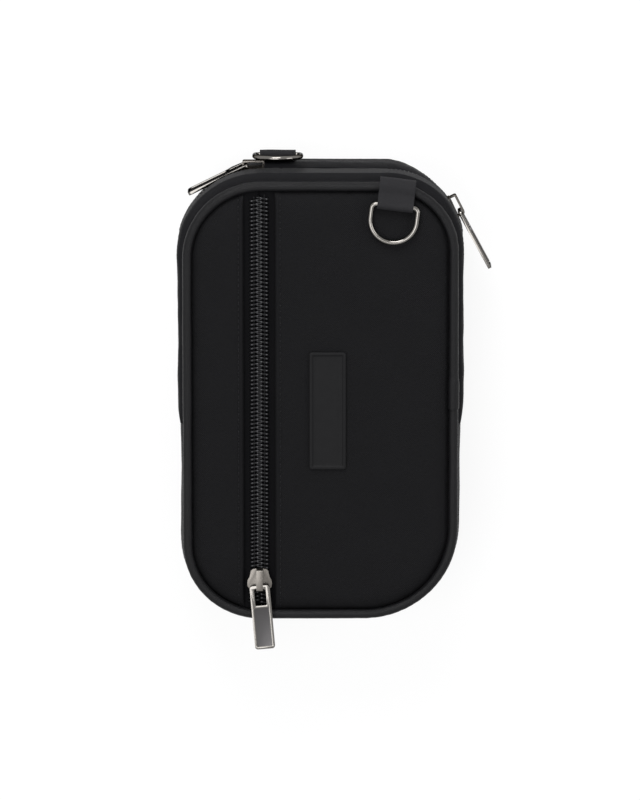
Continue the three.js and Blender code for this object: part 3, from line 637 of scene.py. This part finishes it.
# Gusset: padded strips before and behind the main zip in the upper half, a plain wall below. Each is
# a rolled skin that swells and dips along the rim, drawn in where it is sewn to the piping.
strip_profile = [(-1.0, 44.6), (0.5, 44.4), (1.4, 43.3), (2.5, 42.6), (3.7, 41.6), (4.4, 39.6),
                 (4.45, 36.6), (4.15, 34.6), (3.6, 32.8), (2.9, 31.75), (1.8, 31.55), (0.35, 31.6),
                 (0.25, 34.1), (-1.0, 34.2)]
ring_spacing = 0.8
taper_run = 16
fullest, wall_out = 4.8, 3.25
wall_profile = [(-1.0, 44.6), (0.6, 44.5), (1.4, 43.4), (2.5, 41.6), (3.05, 36.0), (3.2, 30.0),
                (3.25, 25.0), (3.2, 20.0), (3.05, 14.0), (2.5, 8.4), (1.4, 6.6), (0.6, 5.5),
                (-1.0, 5.4)]


def smooth_loop(keys, count):
    """A smooth closed line through key points, as evenly stepped points."""
    keys = np.asarray(keys, float)
    steps = np.linspace(0, len(keys), count, endpoint=False)
    i = steps.astype(int)
    return curve_between([keys[(i + k) % len(keys)] for k in (-1, 0, 1, 2)], (steps - i)[:, None])


def rim_strip(name, body, fill, start, end, profile, seed, flat_top=0.0, seam_at=None, sags=(0.0, 0.0)):
    keys = np.array(profile)
    count = len(keys) * 4
    steps = np.linspace(0, len(keys), count, endpoint=False)
    straight = np.stack([np.interp(steps, range(len(keys)), keys[:, k]) for k in (0, 1)], -1)
    sewn = (steps < 0.01) | (steps > len(keys) - 4)
    section = np.where(sewn[:, None], straight, smooth_loop(keys, count))
    count = int((end - start) / ring_spacing)
    distance = np.linspace(start, end, count)
    place = rim_at(distance, *sags)
    out, level = (np.repeat(section[None, :, k], count, 0) for k in (0, 1))
    free = np.clip((out - 1.6) / 1.6, 0, 1)
    bend = corner_bend(*place[2:], (end - start) / count)
    along = distance[:, None]
    swell = 0.34 * ripple(along, level, seed, 46) + 0.1 * ripple(along, level * 2, seed + 1, 12)
    across = np.sin(distance * 1.9 + 2 * ripple(distance, 0 * distance, seed + 2, 20))
    swell -= (0.05 + 0.16 * np.clip(bend, 0, 1))[:, None] * np.abs(across)[:, None]
    swell -= flat_top * np.clip((place[1] - 70) / 25, 0, 1)[:, None]
    if seam_at is not None:
        past = along - seam_at
        swell -= 0.55 * np.exp(-(past / 0.55) ** 2)
        swell += 0.25 * (np.clip(past / 0.4, 0, 1) * np.clip((5 - past) / 2, 0, 1))
    out = out + free * np.minimum(swell, 0.5 - min(flat_top, 0))
    level = level + 0.12 * free * ripple(along, level, seed + 3, 25)
    if profile is not wall_profile:
        slim = np.clip(1 - np.minimum(distance - start, end - distance) / taper_run, 0, 1) ** 2
        out = np.minimum(out, fullest - (fullest - wall_out) * slim[:, None])
    rings = rim_rings(place, out, level)
    dress(swept(name, rings, gusset_cloth, False, distance, run_length(section)), name, body)


upper_length = rim_distance(-half_width, fold_y)
upper_half = (fold_gap, upper_length - fold_gap)
lower_half = (upper_length + fold_gap, whole_rim - fold_gap)
back_profile = [(out, 2 * middle_z - level) for out, level in reversed(strip_profile)]
rim_strip("gusset_strip_front", "front_flap", 0.7, *upper_half, strip_profile, 31,
          flat_top=-1.2, seam_at=rim_distance(-17.5, top_y))
rim_strip("gusset_strip_back", "case", 0.7, *upper_half, back_profile, 37, flat_top=1.2, sags=back_sags)
rim_strip("lower_gusset", "case", 0.3, *lower_half, wall_profile, 41)


# Pocket zip: two woven tapes with a nylon coil, closed above its slider and spread below it. Each
# turn of the coil is a bar with a head that hooks past the middle between two heads of the other
# side, and a thread runs over the bars of each side to hold them to the tape.
tooth_pitch = 1.82
tape_top = 47.1
tape_inset = 2.0
half_parting = 1.1
throat = 5.4
seam_aside = 2.3
seam_lift = 1.42
pocket_slider_y = -81.8
tape_edges = {-1: -36.4, 1: -18.0}


# A nylon coil with painted highlights: the tops of each turn's outer bend and of its head are made
# lighter, and a little glossier, in speckled bands, as glints of light.
def nylon_with_painted_glints():
    recipe = Recipe("nylon coil with painted glints")
    across, _, up = recipe.split(recipe.place())
    aside = recipe.maths("ABSOLUTE", across - zip_x * mm)
    outer = recipe.maths("ABSOLUTE", aside - 3.45 * mm) * (-1 / (0.6 * mm)) + 1.2
    inner = recipe.maths("ABSOLUTE", aside - 0.9 * mm) * (-1 / (0.42 * mm)) + 1.1
    high = (up - 48.58 * mm) * (1 / (0.14 * mm))
    # Painted glint: lighter colour only where the outer bends and heads face up, speckled by noise.
    painted_glint = recipe.maths("MINIMUM", recipe.maths("MAXIMUM", outer, inner), high)
    painted_glint = recipe.maths("MAXIMUM", painted_glint, 0) * recipe.noise(1500, 2) * 1.4
    dark, light = (0.0075, 0.0075, 0.008, 1), (0.09, 0.09, 0.095, 1)
    return recipe.finish(Base_Color=recipe.blend(painted_glint, dark, light),
                         Roughness=0.34 - painted_glint * 0.1, Specular_IOR_Level=0.08)


pocket_nylon = nylon_with_painted_glints()


def coil_turn(side):
    path = [(3.78, -0.36, 0.1), (3.86, -0.36, 0.75), (3.45, -0.33, 1.32), (2.3, -0.14, 1.46),
            (0.6, 0.16, 1.4), (-0.45, 0.32, 1.3), (-0.82, 0.36, 0.95), (-0.75, 0.36, 0.5)]
    radii = [0.36, 0.42, 0.44, 0.42, 0.4, 0.48, 0.5, 0.34]
    return bent_tube(f"coil turn {side}", [(side * x, y, z) for x, y, z in path], radii, 6, nylon)


coil_turns = {side: coil_turn(side) for side in (-1, 1)}
stitch_item = bent_tube("stitch", [(0, -0.8, -0.12), (0, -0.35, 0.1), (0, 0.35, 0.1), (0, 0.8, -0.12)],
                        [0.12, 0.2, 0.2, 0.12], 5, thread)


def pocket_parting(y):
    """How far each half of the pocket zip is spread from the middle, below its slider."""
    return half_parting * np.clip((pocket_slider_y + 0.5 - y) / throat, 0, 1)


def pocket_tape(side, rows=180, columns=14):
    edge = tape_edges[side]
    share = np.linspace(0, 1, columns)
    y = np.linspace(end_y(zip_x, -1, tape_inset), end_y(zip_x, 1, tape_inset), rows)
    inner = zip_x + side * (0.15 + pocket_parting(y))
    x = inner[:, None] + (edge - inner)[:, None] * share[None, :]
    high = end_y(x, 1, tape_inset)
    low = end_y(x, -1, tape_inset)
    y = np.clip(np.broadcast_to(y[:, None], x.shape), low, high)
    wave = 0.05 * ripple(x, y, 50 + side, 14)
    return x, y, tape_top - 0.08 + wave * (share > 0.1), tape_top - 0.8 + wave


for side, word in ((-1, "left"), (1, "right")):
    name = f"pocket_zip_{word}"
    tape = slab(name, *pocket_tape(side), tape_cloth)
    first = pocket_slider_y + 0.5 + tooth_pitch * (1 + (0.5 if side > 0 else 0))
    closed_y = np.arange(first, end_y(zip_x + 4 * side, 1, 2.9) - 1.2, tooth_pitch)
    open_y = np.arange(first - tooth_pitch, end_y(zip_x + 6 * side, -1, 2.9) + 1.5, -tooth_pitch)
    y = np.concatenate([closed_y, open_y])
    spots = np.stack([zip_x + side * pocket_parting(y), y, np.full(len(y), tape_top)], -1)
    turns = repeated("turns", coil_turns[side], spots, pocket_nylon)
    seam = spots + (side * seam_aside, tooth_pitch / 2, seam_lift)
    stitches = repeated("stitches", stitch_item, seam, thread)
    joined = join(name, tape, turns, stitches)
    dress(joined, name)


# Main zip: the same coil on two tapes round the upper rim, closed outside the two sliders and spread
# between them. Its line has two equal round corners, so that the sliders sit square on it.
zip_corner = 28.7
zip_centre = (half_width - zip_corner, top_y - zip_corner)
left_slider_x = -29.8
right_slider_turn = math.radians(26.5)
slider_length = 9.8
corner_run = zip_corner * math.pi / 2
side_run = zip_centre[1] - fold_y
top_run = 2 * zip_centre[0]
zip_run = 2 * side_run + 2 * corner_run + top_run
right_slider_s = side_run + zip_corner * right_slider_turn
left_slider_s = side_run + corner_run + zip_centre[0] - left_slider_x


def zip_rim(distance):
    """The main zip's line: point and outward normal at each distance from the fold on the right."""
    s = np.asarray(distance, float)
    after = s - side_run - corner_run - top_run
    turn = sum(np.clip(past / zip_corner, 0, math.pi / 2) for past in (s - side_run, after))
    nx, ny = np.cos(turn), np.sin(turn)
    across = np.clip(s - side_run - corner_run, 0, top_run)
    x = zip_centre[0] - across + zip_corner * nx
    rise = np.clip(s, 0, side_run) - np.clip(after - corner_run, 0, side_run)
    return x, fold_y + rise + zip_corner * ny, nx, ny


def main_parting(distance):
    """How far each half of the chain is spread, between the two sliders."""
    from_right = np.clip((distance - right_slider_s) / slider_length + 0.5, 0, 1)
    return half_parting * from_right * np.clip((left_slider_s - distance) / slider_length + 0.5, 0, 1)


for side, word, body in ((1, "front", "front_flap"), (-1, "back", "case")):
    name = f"main_zip_{word}"
    distance = np.linspace(fold_gap, zip_run - fold_gap, 420)
    reach = np.array([0.15, 2, 4, 6, 8.7, 8.7, 6, 4, 2, 0.15])
    lift = np.array([-0.05] * 5 + [-0.8] * 5)
    level = middle_z + side * np.maximum(reach, 0.15 + main_parting(distance)[:, None])
    rings = rim_rings(zip_rim(distance), lift, level)
    tape = swept(name, rings, tape_cloth, False, distance, reach + (lift < -0.5) * 9)
    s = np.arange(1.5 + (tooth_pitch / 2 if side > 0 else 0), zip_run - 1.5, tooth_pitch)
    x, y, nx, ny = zip_rim(s)
    up = np.stack([nx, ny, nx * 0], -1)
    along = np.stack([-ny, nx, nx * 0], -1)
    spots = np.stack([x, y, middle_z + side * main_parting(s)], -1)
    turns = repeated("turns", coil_turns[-side], spots, nylon, along, up)
    seam = spots + up * seam_lift + along * tooth_pitch / 2 + (0, 0, side * seam_aside)
    stitches = repeated("stitches", stitch_item, seam, thread, along, up)
    joined = join(name, tape, turns, stitches)
    dress(joined, name, body)


# Sliders and pulls: the solids' own shapes with their edges broken. The sliders are cast and satin,
# the pulls are bright, and the floor of each pull's recess is darker.
def plated(name, colour, roughness):
    recipe = Recipe(name)
    grain = recipe.noise(1400, 3)
    wear = recipe.noise(160, 3)
    return recipe.finish(
        Base_Color=colour,
        Metallic=1.0,
        Specular_Tint=(0.12, 0.12, 0.12, 1),
        Roughness=roughness + (wear - 0.5) * 0.14 + (grain - 0.5) * 0.06,
        Normal=recipe.bump(grain, 0.08, 0.0001),
    )


nickel = plated("nickel", (0.16, 0.152, 0.142, 1), 0.14)
cast_nickel = plated("cast nickel", (0.125, 0.116, 0.106, 1), 0.36)
recess_depth = (0.3 * mm, 0.5 * mm)
recess_nickel = plated("nickel in the recess", (0.062, 0.06, 0.061, 1), 0.42)


def broken_edges(node, body, finish, width, recess=None):
    """A welded copy of a solid with whole faces and its sharp edges rounded off."""
    source = bpy.data.objects[node]
    mesh = source.data.copy()
    mesh.transform(source.matrix_world)
    mesh.materials.clear()
    while mesh.uv_layers:
        mesh.uv_layers.remove(mesh.uv_layers[0])
    work = bmesh.new()
    work.from_mesh(mesh)
    bmesh.ops.remove_doubles(work, verts=work.verts, dist=0.01 * mm)
    bmesh.ops.dissolve_limit(work, angle_limit=math.radians(2), verts=work.verts, edges=work.edges)
    sharp = [edge for edge in work.edges if len(edge.link_faces) == 2
             and edge.calc_face_angle() > math.radians(28)]
    bmesh.ops.bevel(work, geom=sharp, offset=width * mm, segments=2, affect="EDGES", profile=0.6,
                    clamp_overlap=True)
    mesh.materials.append(finish)
    if recess:
        mesh.materials.append(recess)
        plate = max(work.faces, key=lambda face: face.calc_area()).normal.copy()
        for way in (plate, -plate):
            flat = [face for face in work.faces if face.normal.dot(way) > 0.999]
            highest = max(face.calc_center_median().dot(way) for face in flat)
            for face in flat:
                low = highest - face.calc_center_median().dot(way)
                if recess_depth[0] < low < recess_depth[1]:
                    face.material_index = 1
    work.to_mesh(mesh)
    work.free()
    mesh.shade_smooth()
    mesh.set_sharp_from_angle(angle=math.radians(35))
    made = bpy.data.objects.new(f"{node}_dressed", mesh)
    scene.collection.objects.link(made)
    dress(made, node, body)


for place in ("pocket", "left", "right"):
    broken_edges(f"{place}_slider", f"{place}_slider_body", cast_nickel, 0.16)
    broken_edges(f"{place}_pull", f"{place}_pull_body", nickel, 0.14, recess_nickel)


# D-rings: round nickel-plated wire bent to a straight bar, two arms and an arc, and closed at the bar
# inside the tab. The front one lies on the panel, and the back one stands above the top.
ring_width, ring_height = 22.7, 18.8


def d_ring(node, body, pivot, bar, hang):
    wire, bend = 1.05, 2.1
    half, reach = ring_width / 2 - wire, ring_height - 2 * wire
    line = []
    for x, y, radius, first, last, steps in (
            (half - bend, -bend, bend, 90, 0, 10), (0, half - reach, half, 0, -180, 60),
            (bend - half, -bend, bend, -180, -270, 10)):
        for angle in np.radians(np.linspace(first, last, steps)):
            line.append((x + radius * math.cos(angle), y + radius * math.sin(angle),
                         math.cos(angle), math.sin(angle)))
    line = np.array(line)
    turn = np.linspace(0, 2 * math.pi, 20, endpoint=False)
    out = wire * np.cos(turn)[None, :]
    x = line[:, 0:1] + line[:, 2:3] * out
    y = line[:, 1:2] + line[:, 3:4] * out
    z = np.broadcast_to(wire * np.sin(turn)[None, :], x.shape)
    bar, down = np.array(bar), -np.array(hang)
    face = np.cross(bar, down)
    rings = np.array(pivot) + x[..., None] * bar + y[..., None] * down + z[..., None] * face
    made = swept(node, rings, nickel, True, np.arange(len(line)), turn)
    dress(made, node, body)


tab_turn = math.radians(-7)
tab_side = (math.cos(tab_turn), math.sin(tab_turn), 0)
tab_out = (-math.sin(tab_turn), math.cos(tab_turn), 0)
front_ring_pivot = (33.071, 89.943, 52.25)
d_ring("front_ring", "front_ring_body", front_ring_pivot, tab_side, tuple(-v for v in tab_out))
ring_tilt = math.radians(7)
back_ring_pivot = (-19, 104.75, 15.5)
d_ring("back_ring", "back_ring_body", back_ring_pivot, (1, 0, 0),
       (0, math.sin(ring_tilt), math.cos(ring_tilt)))


# Fabric tabs: a strap of plain cloth folded round each D-ring's bar, both its ends sewn in beside the
# piping. A row of stitches presses a line in along each of its edges.
strap_width = 16
strap_thick = 0.62
tab_cloth = woven("tab cloth", (0.018, 0.0178, 0.0192, 1), 0.7, 0.62, 0.8, gloss=0.05)


def folded_strap(node, body, path, origin, side=(1, 0, 0), out=(0, 1, 0)):
    path = np.asarray(path, float)
    gaps = run_length(path)
    steps = np.linspace(0, gaps[-1], 110)
    line = np.stack([np.interp(steps, gaps, path[:, k]) for k in (0, 1)], -1)
    for _ in range(3):
        line[1:-1] = (line[:-2] + 2 * line[1:-1] + line[2:]) / 4
    way = np.gradient(line, axis=0)
    way /= np.linalg.norm(way, axis=1)[:, None]
    normal = np.stack([-way[:, 1], way[:, 0]], -1)
    columns = np.concatenate([[-0.5], np.linspace(-0.485, 0.485, 22), [0.5]])
    edge = np.clip((0.5 - np.abs(columns)) / 0.015, 0, 1)
    across = columns * strap_width
    draw = ripple(steps[:, None], across[None, :], 61, 9) * 0.07
    seam = np.exp(-((np.abs(columns) - 0.42) / 0.02) ** 2) * 0.1
    shift = strap_thick / 2 * (0.45 + 0.55 * np.sqrt(edge))
    points = []
    for face in (1, -1):
        offset = face * (shift - seam)[None, :] + draw
        flat = line[:, None] + normal[:, None] * offset[..., None]
        points.append(np.array(origin) + across[:, None] * np.array(side)
                      + flat[..., 0:1] * np.array(out) + flat[..., 1:2] * np.array((0, 0, 1)))
    made = closed_sheet(node, *points, tab_cloth)
    flat = np.stack(np.broadcast_arrays(across, steps[:, None]), -1)
    lay_cloth(made.data, [flat, flat])
    dress(made, node, body)


def arc(centre, radius, first, last, steps):
    turns = np.radians(np.linspace(first, last, steps))
    return [(centre[0] + radius * math.cos(t), centre[1] + radius * math.sin(t)) for t in turns]


seam_x = zip_centre[0] - zip_corner * math.sin(tab_turn)
seam_y = zip_centre[1] + zip_corner * math.cos(tab_turn)
front_path = (arc((0, 0), 3.5, -16, 90, 14) + [(-2.6, 3.5), (-4.2, 4.6)]
              + arc((-7.6, 4.85), 1.95, 62, 270, 22) + [(-3.5, 2.92)] + arc((0, 0), 2.87, 90, -14, 12))
folded_strap("front_tab", "front_flap", front_path, (seam_x, seam_y, front_piping_z), tab_side, tab_out)
back_path = ([(2.9, 2.9), (4.15, 7.3), (5.12, 9.9), (5.12, 14.2)] + arc((7.05, 15.5), 1.95, 180, -58, 24)
             + [(5.78, 11.2), (5.72, 9.4), (4.75, 6.2), (3.6, 2.7)])
folded_strap("back_tab", "case", back_path, (back_ring_pivot[0], top_y, 0))


# Label patch: one soft rubber moulding with a rolled border round a bare, finely grained face, stuck
# to the right panel beside the pocket zip.
def round_plate(half_x, half_y, corner, rows, columns, crowd):
    """A grid with round corners, closest together at its edges, and each point's depth inside."""
    across, along = (np.linspace(-1, 1, count) for count in (columns, rows))
    u, v = np.meshgrid(*(np.sign(t) * (1 - (1 - np.abs(t)) ** crowd) for t in (across, along)))
    x, y = u * half_x, v * half_y
    over_x = np.maximum(np.abs(x) - half_x + corner, 0)
    over_y = np.maximum(np.abs(y) - half_y + corner, 0)
    in_corner = (over_x > 0) & (over_y > 0)
    over = np.maximum(np.hypot(over_x, over_y), 1e-6)
    squeeze = np.where(in_corner, np.maximum(over_x, over_y) / over, 1)
    x = np.sign(x) * (np.abs(x) - over_x * (1 - squeeze))
    y = np.sign(y) * (np.abs(y) - over_y * (1 - squeeze))
    past = np.hypot(np.maximum(np.abs(x) - half_x + corner, 0), np.maximum(np.abs(y) - half_y + corner, 0))
    straight = np.minimum(half_x - np.abs(x), half_y - np.abs(y))
    return x, y, np.where(in_corner, corner - past, straight)


rubber_recipe = Recipe("moulded rubber")
rubber_grain = rubber_recipe.noise(2600, 2)
rubber = rubber_recipe.finish(
    Base_Color=rubber_recipe.blend(rubber_grain, (0.0036, 0.0036, 0.004, 1), (0.0056, 0.0056, 0.0062, 1)),
    Roughness=0.58 + (rubber_recipe.noise(300, 2) - 0.5) * 0.12,
    Specular_IOR_Level=0.1,
    Normal=rubber_recipe.bump(rubber_grain, 0.25, 0.0001),
)
patch_centre = (3.2, -4.0)
patch_half = (8.3, 27.0)
patch_seat = 50.3
border_at = [0, 0.1, 0.3, 0.6, 1.1, 1.45, 1.7, 1.95, 2.6, 3.0, 3.2, 3.5, 9]
border_z = [0.35, 0.72, 0.98, 1.08, 1.1, 1.05, 0.75, 0.62, 0.6, 0.6, 0.55, 0.6, 0.6]
x, y, rim = round_plate(*patch_half, 1.3, 150, 60, 1.35)
height = np.interp(rim, border_at, border_z)
x, y = x + patch_centre[0], y + patch_centre[1]
sag = 0.05 * ripple(x, y, 77, 40)
patch = slab("label_patch", x, y, patch_seat + height + sag * (height > 0.5), patch_seat - 0.08, rubber)
dress(patch, "label_patch")


# Back panel, pocket lining and foil liners: flat pieces cut to the outline. The liners are foil on
# foam, quilted in diamonds that the stitches draw in.
foil_recipe = Recipe("foil film")
foil_crease = foil_recipe.noise(220, 4, foil_recipe.place("UV"))
foil_fine = foil_recipe.noise(900, 3, foil_recipe.place("UV"))
foil = foil_recipe.finish(
    Base_Color=(0.62, 0.64, 0.66, 1),
    Metallic=0.85,
    Roughness=0.3 + (foil_crease - 0.5) * 0.3,
    Normal=foil_recipe.bump(foil_crease + foil_fine * 0.3, 0.35, 0.0008),
)
quilt_pitch = 22
edge_roll = 1.6
lining_inset, cover_inset = 1.35, 3.6
lining_cloth = woven("lining cloth", (0.012, 0.012, 0.013, 1), 0.4, 0.8, 0.4)


def cut_sheet(inset, low=low_y, high=top_y, rows=120, columns=70):
    """A grid that fills the outline moved inward, between two heights up the case."""
    top, bottom = min(top_y - inset, high), max(low_y + inset, low)
    sweep = np.linspace(0, math.pi, rows)
    y = (top + bottom) / 2 - (top - bottom) / 2 * (0.7 * np.cos(sweep) + 0.3 * (1 - 2 * sweep / math.pi))
    share = 0.5 * (1 - np.cos(np.linspace(0, math.pi, columns))) * 0.4 + 0.6 * np.linspace(0, 1, columns)
    left, right = side_x(y, -1, inset)[:, None], side_x(y, 1, inset)[:, None]
    return left + (right - left) * share[None, :], np.broadcast_to(y[:, None], (rows, columns))


def pad(name, inset, foot, top, material, slot, body=None, low=low_y, high=top_y, quilt=0.0, lump=0.0,
        seed=1, face=1):
    """A flat or quilted piece whose good side is its top (face 1) or its underside (face -1)."""
    x, y = cut_sheet(inset, low, high)
    edge = np.minimum(depth_inside(x, y) - inset, np.minimum(y - low, high - y))
    thick = top - foot
    shape = rounded(edge / edge_roll) * 0.7 + 0.3
    lines = np.minimum(*(np.abs(np.sin(way * math.pi / quilt_pitch)) for way in (x + y, x - y)))
    cushion = quilt * (1 - np.exp(-lines / 0.22)) + lump * 0.5 * (ripple(x, y, seed, 28) + 1)
    cushion = np.clip(cushion, 0, quilt + lump)
    good = thick * shape - (quilt + lump) * shape + cushion * shape
    upper, lower = (foot + good, foot) if face > 0 else (top, top - good)
    made = slab(name, x, y, upper, lower, material)
    dress(made, name, body)
    return made


def cut_area(x, y):
    """The flat area that a grid covers, in square metres."""
    one = (x[1:, 1:] - x[:-1, :-1], y[1:, 1:] - y[:-1, :-1])
    other = (x[1:, :-1] - x[:-1, 1:], y[1:, :-1] - y[:-1, 1:])
    return float(np.abs(one[0] * other[1] - one[1] * other[0]).sum()) / 2 * mm * mm


liner = {"quilt": 1.1, "face": -1}
back = pad("back_panel", 2.7, 0.0, 3.4, panel_cloth, "cloth", "case", lump=0.5, seed=91, face=-1)
lining = pad("pocket_lining", lining_inset, 43.75, 44.25, lining_cloth, "cloth")
upper_liner = pad("front_liner_upper", 1.9, 38.9, 43.4, foil, "foil", "front_flap",
                  low=fold_y + fold_gap, seed=92, **liner)
lower_liner = pad("front_liner_lower", 1.9, 38.9, 43.4, foil, "foil", "case",
                  high=fold_y - fold_gap, seed=93, **liner)
floor_liner = pad("back_liner_floor", 5.3, 3.7, 8.2, foil, "foil", "case", quilt=1.0, seed=94)
cover = pad("pack_cover", cover_inset, 18.0, 18.8, foil, "foil", "case", lump=0.3, seed=95)
for sheet, inset in ((lining, lining_inset), (cover, cover_inset)):
    x, y = cut_sheet(inset)
    cut_area(x, y)


# Liner walls: the same foil foam standing round the inside, with soft upright puckers. One goes all
# round the back half, and the other only round the part of the front half that stays closed.
def liner_wall(name, start, end, low, high, closed, seed):
    distance = np.linspace(start, end, 520, endpoint=not closed)
    middle, half = (low + high) / 2, (high - low) / 2
    levels = np.linspace(-1, 1, 12)
    bulge = 0.35 * ripple(distance[:, None], levels[None, :] * half, seed, 22)
    bulge = bulge + 0.25 * np.sin(distance[:, None] * 0.55) * np.ones(12)[None, :]
    inner = -4.7 + 0.6 * (1 - (1 - levels ** 8)[None, :]) + np.clip(bulge, -0.2, 0.5)
    outer = np.full((len(distance), 12), -1.65)
    out = np.concatenate([outer, inner[:, ::-1]], 1)
    level = np.concatenate([middle + half * levels, middle + half * levels[::-1]])
    rings = rim_rings(rim_at(distance), out, level)
    made = swept(name, rings, foil, closed, distance, np.concatenate([level, level + 40]))
    dress(made, name, "case")


liner_wall("back_liner_wall", 0, whole_rim, 5.25, 17.65, True, 101)
liner_wall("lower_liner_wall", *lower_half, 19.15, 38.55, False, 102)


# Gel packs and pen bands: two slack film pouches with welded rims and lumps of gel lie in the back
# half, and two elastic bands, sewn down in four loops each, hang under the front liner.
gel_recipe = Recipe("gel pouch film")
gel_lumps = gel_recipe.noise(120, 3)
gel = gel_recipe.finish(
    Base_Color=gel_recipe.blend(gel_lumps, (0.24, 0.45, 0.62, 1), (0.42, 0.62, 0.76, 1)),
    Roughness=0.22 + gel_lumps * 0.15,
    Coat_Weight=0.4,
    Normal=gel_recipe.bump(gel_lumps, 0.3, 0.001),
)
elastic_cloth = woven("elastic band", (0.016, 0.016, 0.018, 1), 0.9, 0.85, 0.7)


def pouch(name, centre_y, seed):
    half_size, corner = (48.6, 41.5), 12.0
    middle_level, welded, swell, weld_width = 13.1, 0.35, 4.0, 4.5
    x, y, inside = round_plate(*half_size, corner, 90, 90, 1.3)
    full = rounded((inside - weld_width) / 12)
    lump = 0.35 * ripple(x, y, seed, 26) * full
    gather = 0.25 * np.sin(np.arctan2(y, x) * 34) * np.exp(-((inside - weld_width) / 4) ** 2)
    high = middle_level + welded + np.clip(swell * full + lump + gather - 0.3, -0.1, 4.2)
    low = middle_level - welded - np.clip(swell * full + lump - 0.3, 0.0, 4.2)
    made = slab(name, x, y + centre_y, high, low, gel)
    dress(made, name, "case")


pouch("ice_pack_upper", 45.6, 111)
pouch("ice_pack_lower", -45.6, 112)


def pen_band(name, centre_y, body):
    span, loops, width, liner_face = 43.2, 4, 18.0, 38.6
    x = np.linspace(-span, span, 220)
    rise = 1.6 * (1 - np.cos(math.pi * loops * (x + span) / span)) / 2
    z = liner_face - 0.45 - rise
    columns = np.concatenate([[-0.5], np.linspace(-0.47, 0.47, 14), [0.5]])
    thin = 0.42 * (0.5 + 0.5 * np.sqrt(np.clip((0.5 - np.abs(columns)) / 0.03, 0, 1)))
    y = centre_y + columns * width
    made = slab(name, x[:, None], y, z[:, None] + thin, z[:, None] - thin, elastic_cloth)
    dress(made, name, body)


pen_band("pen_band_upper", 52.0, "front_flap")
pen_band("pen_band_lower", -52.0, "case")
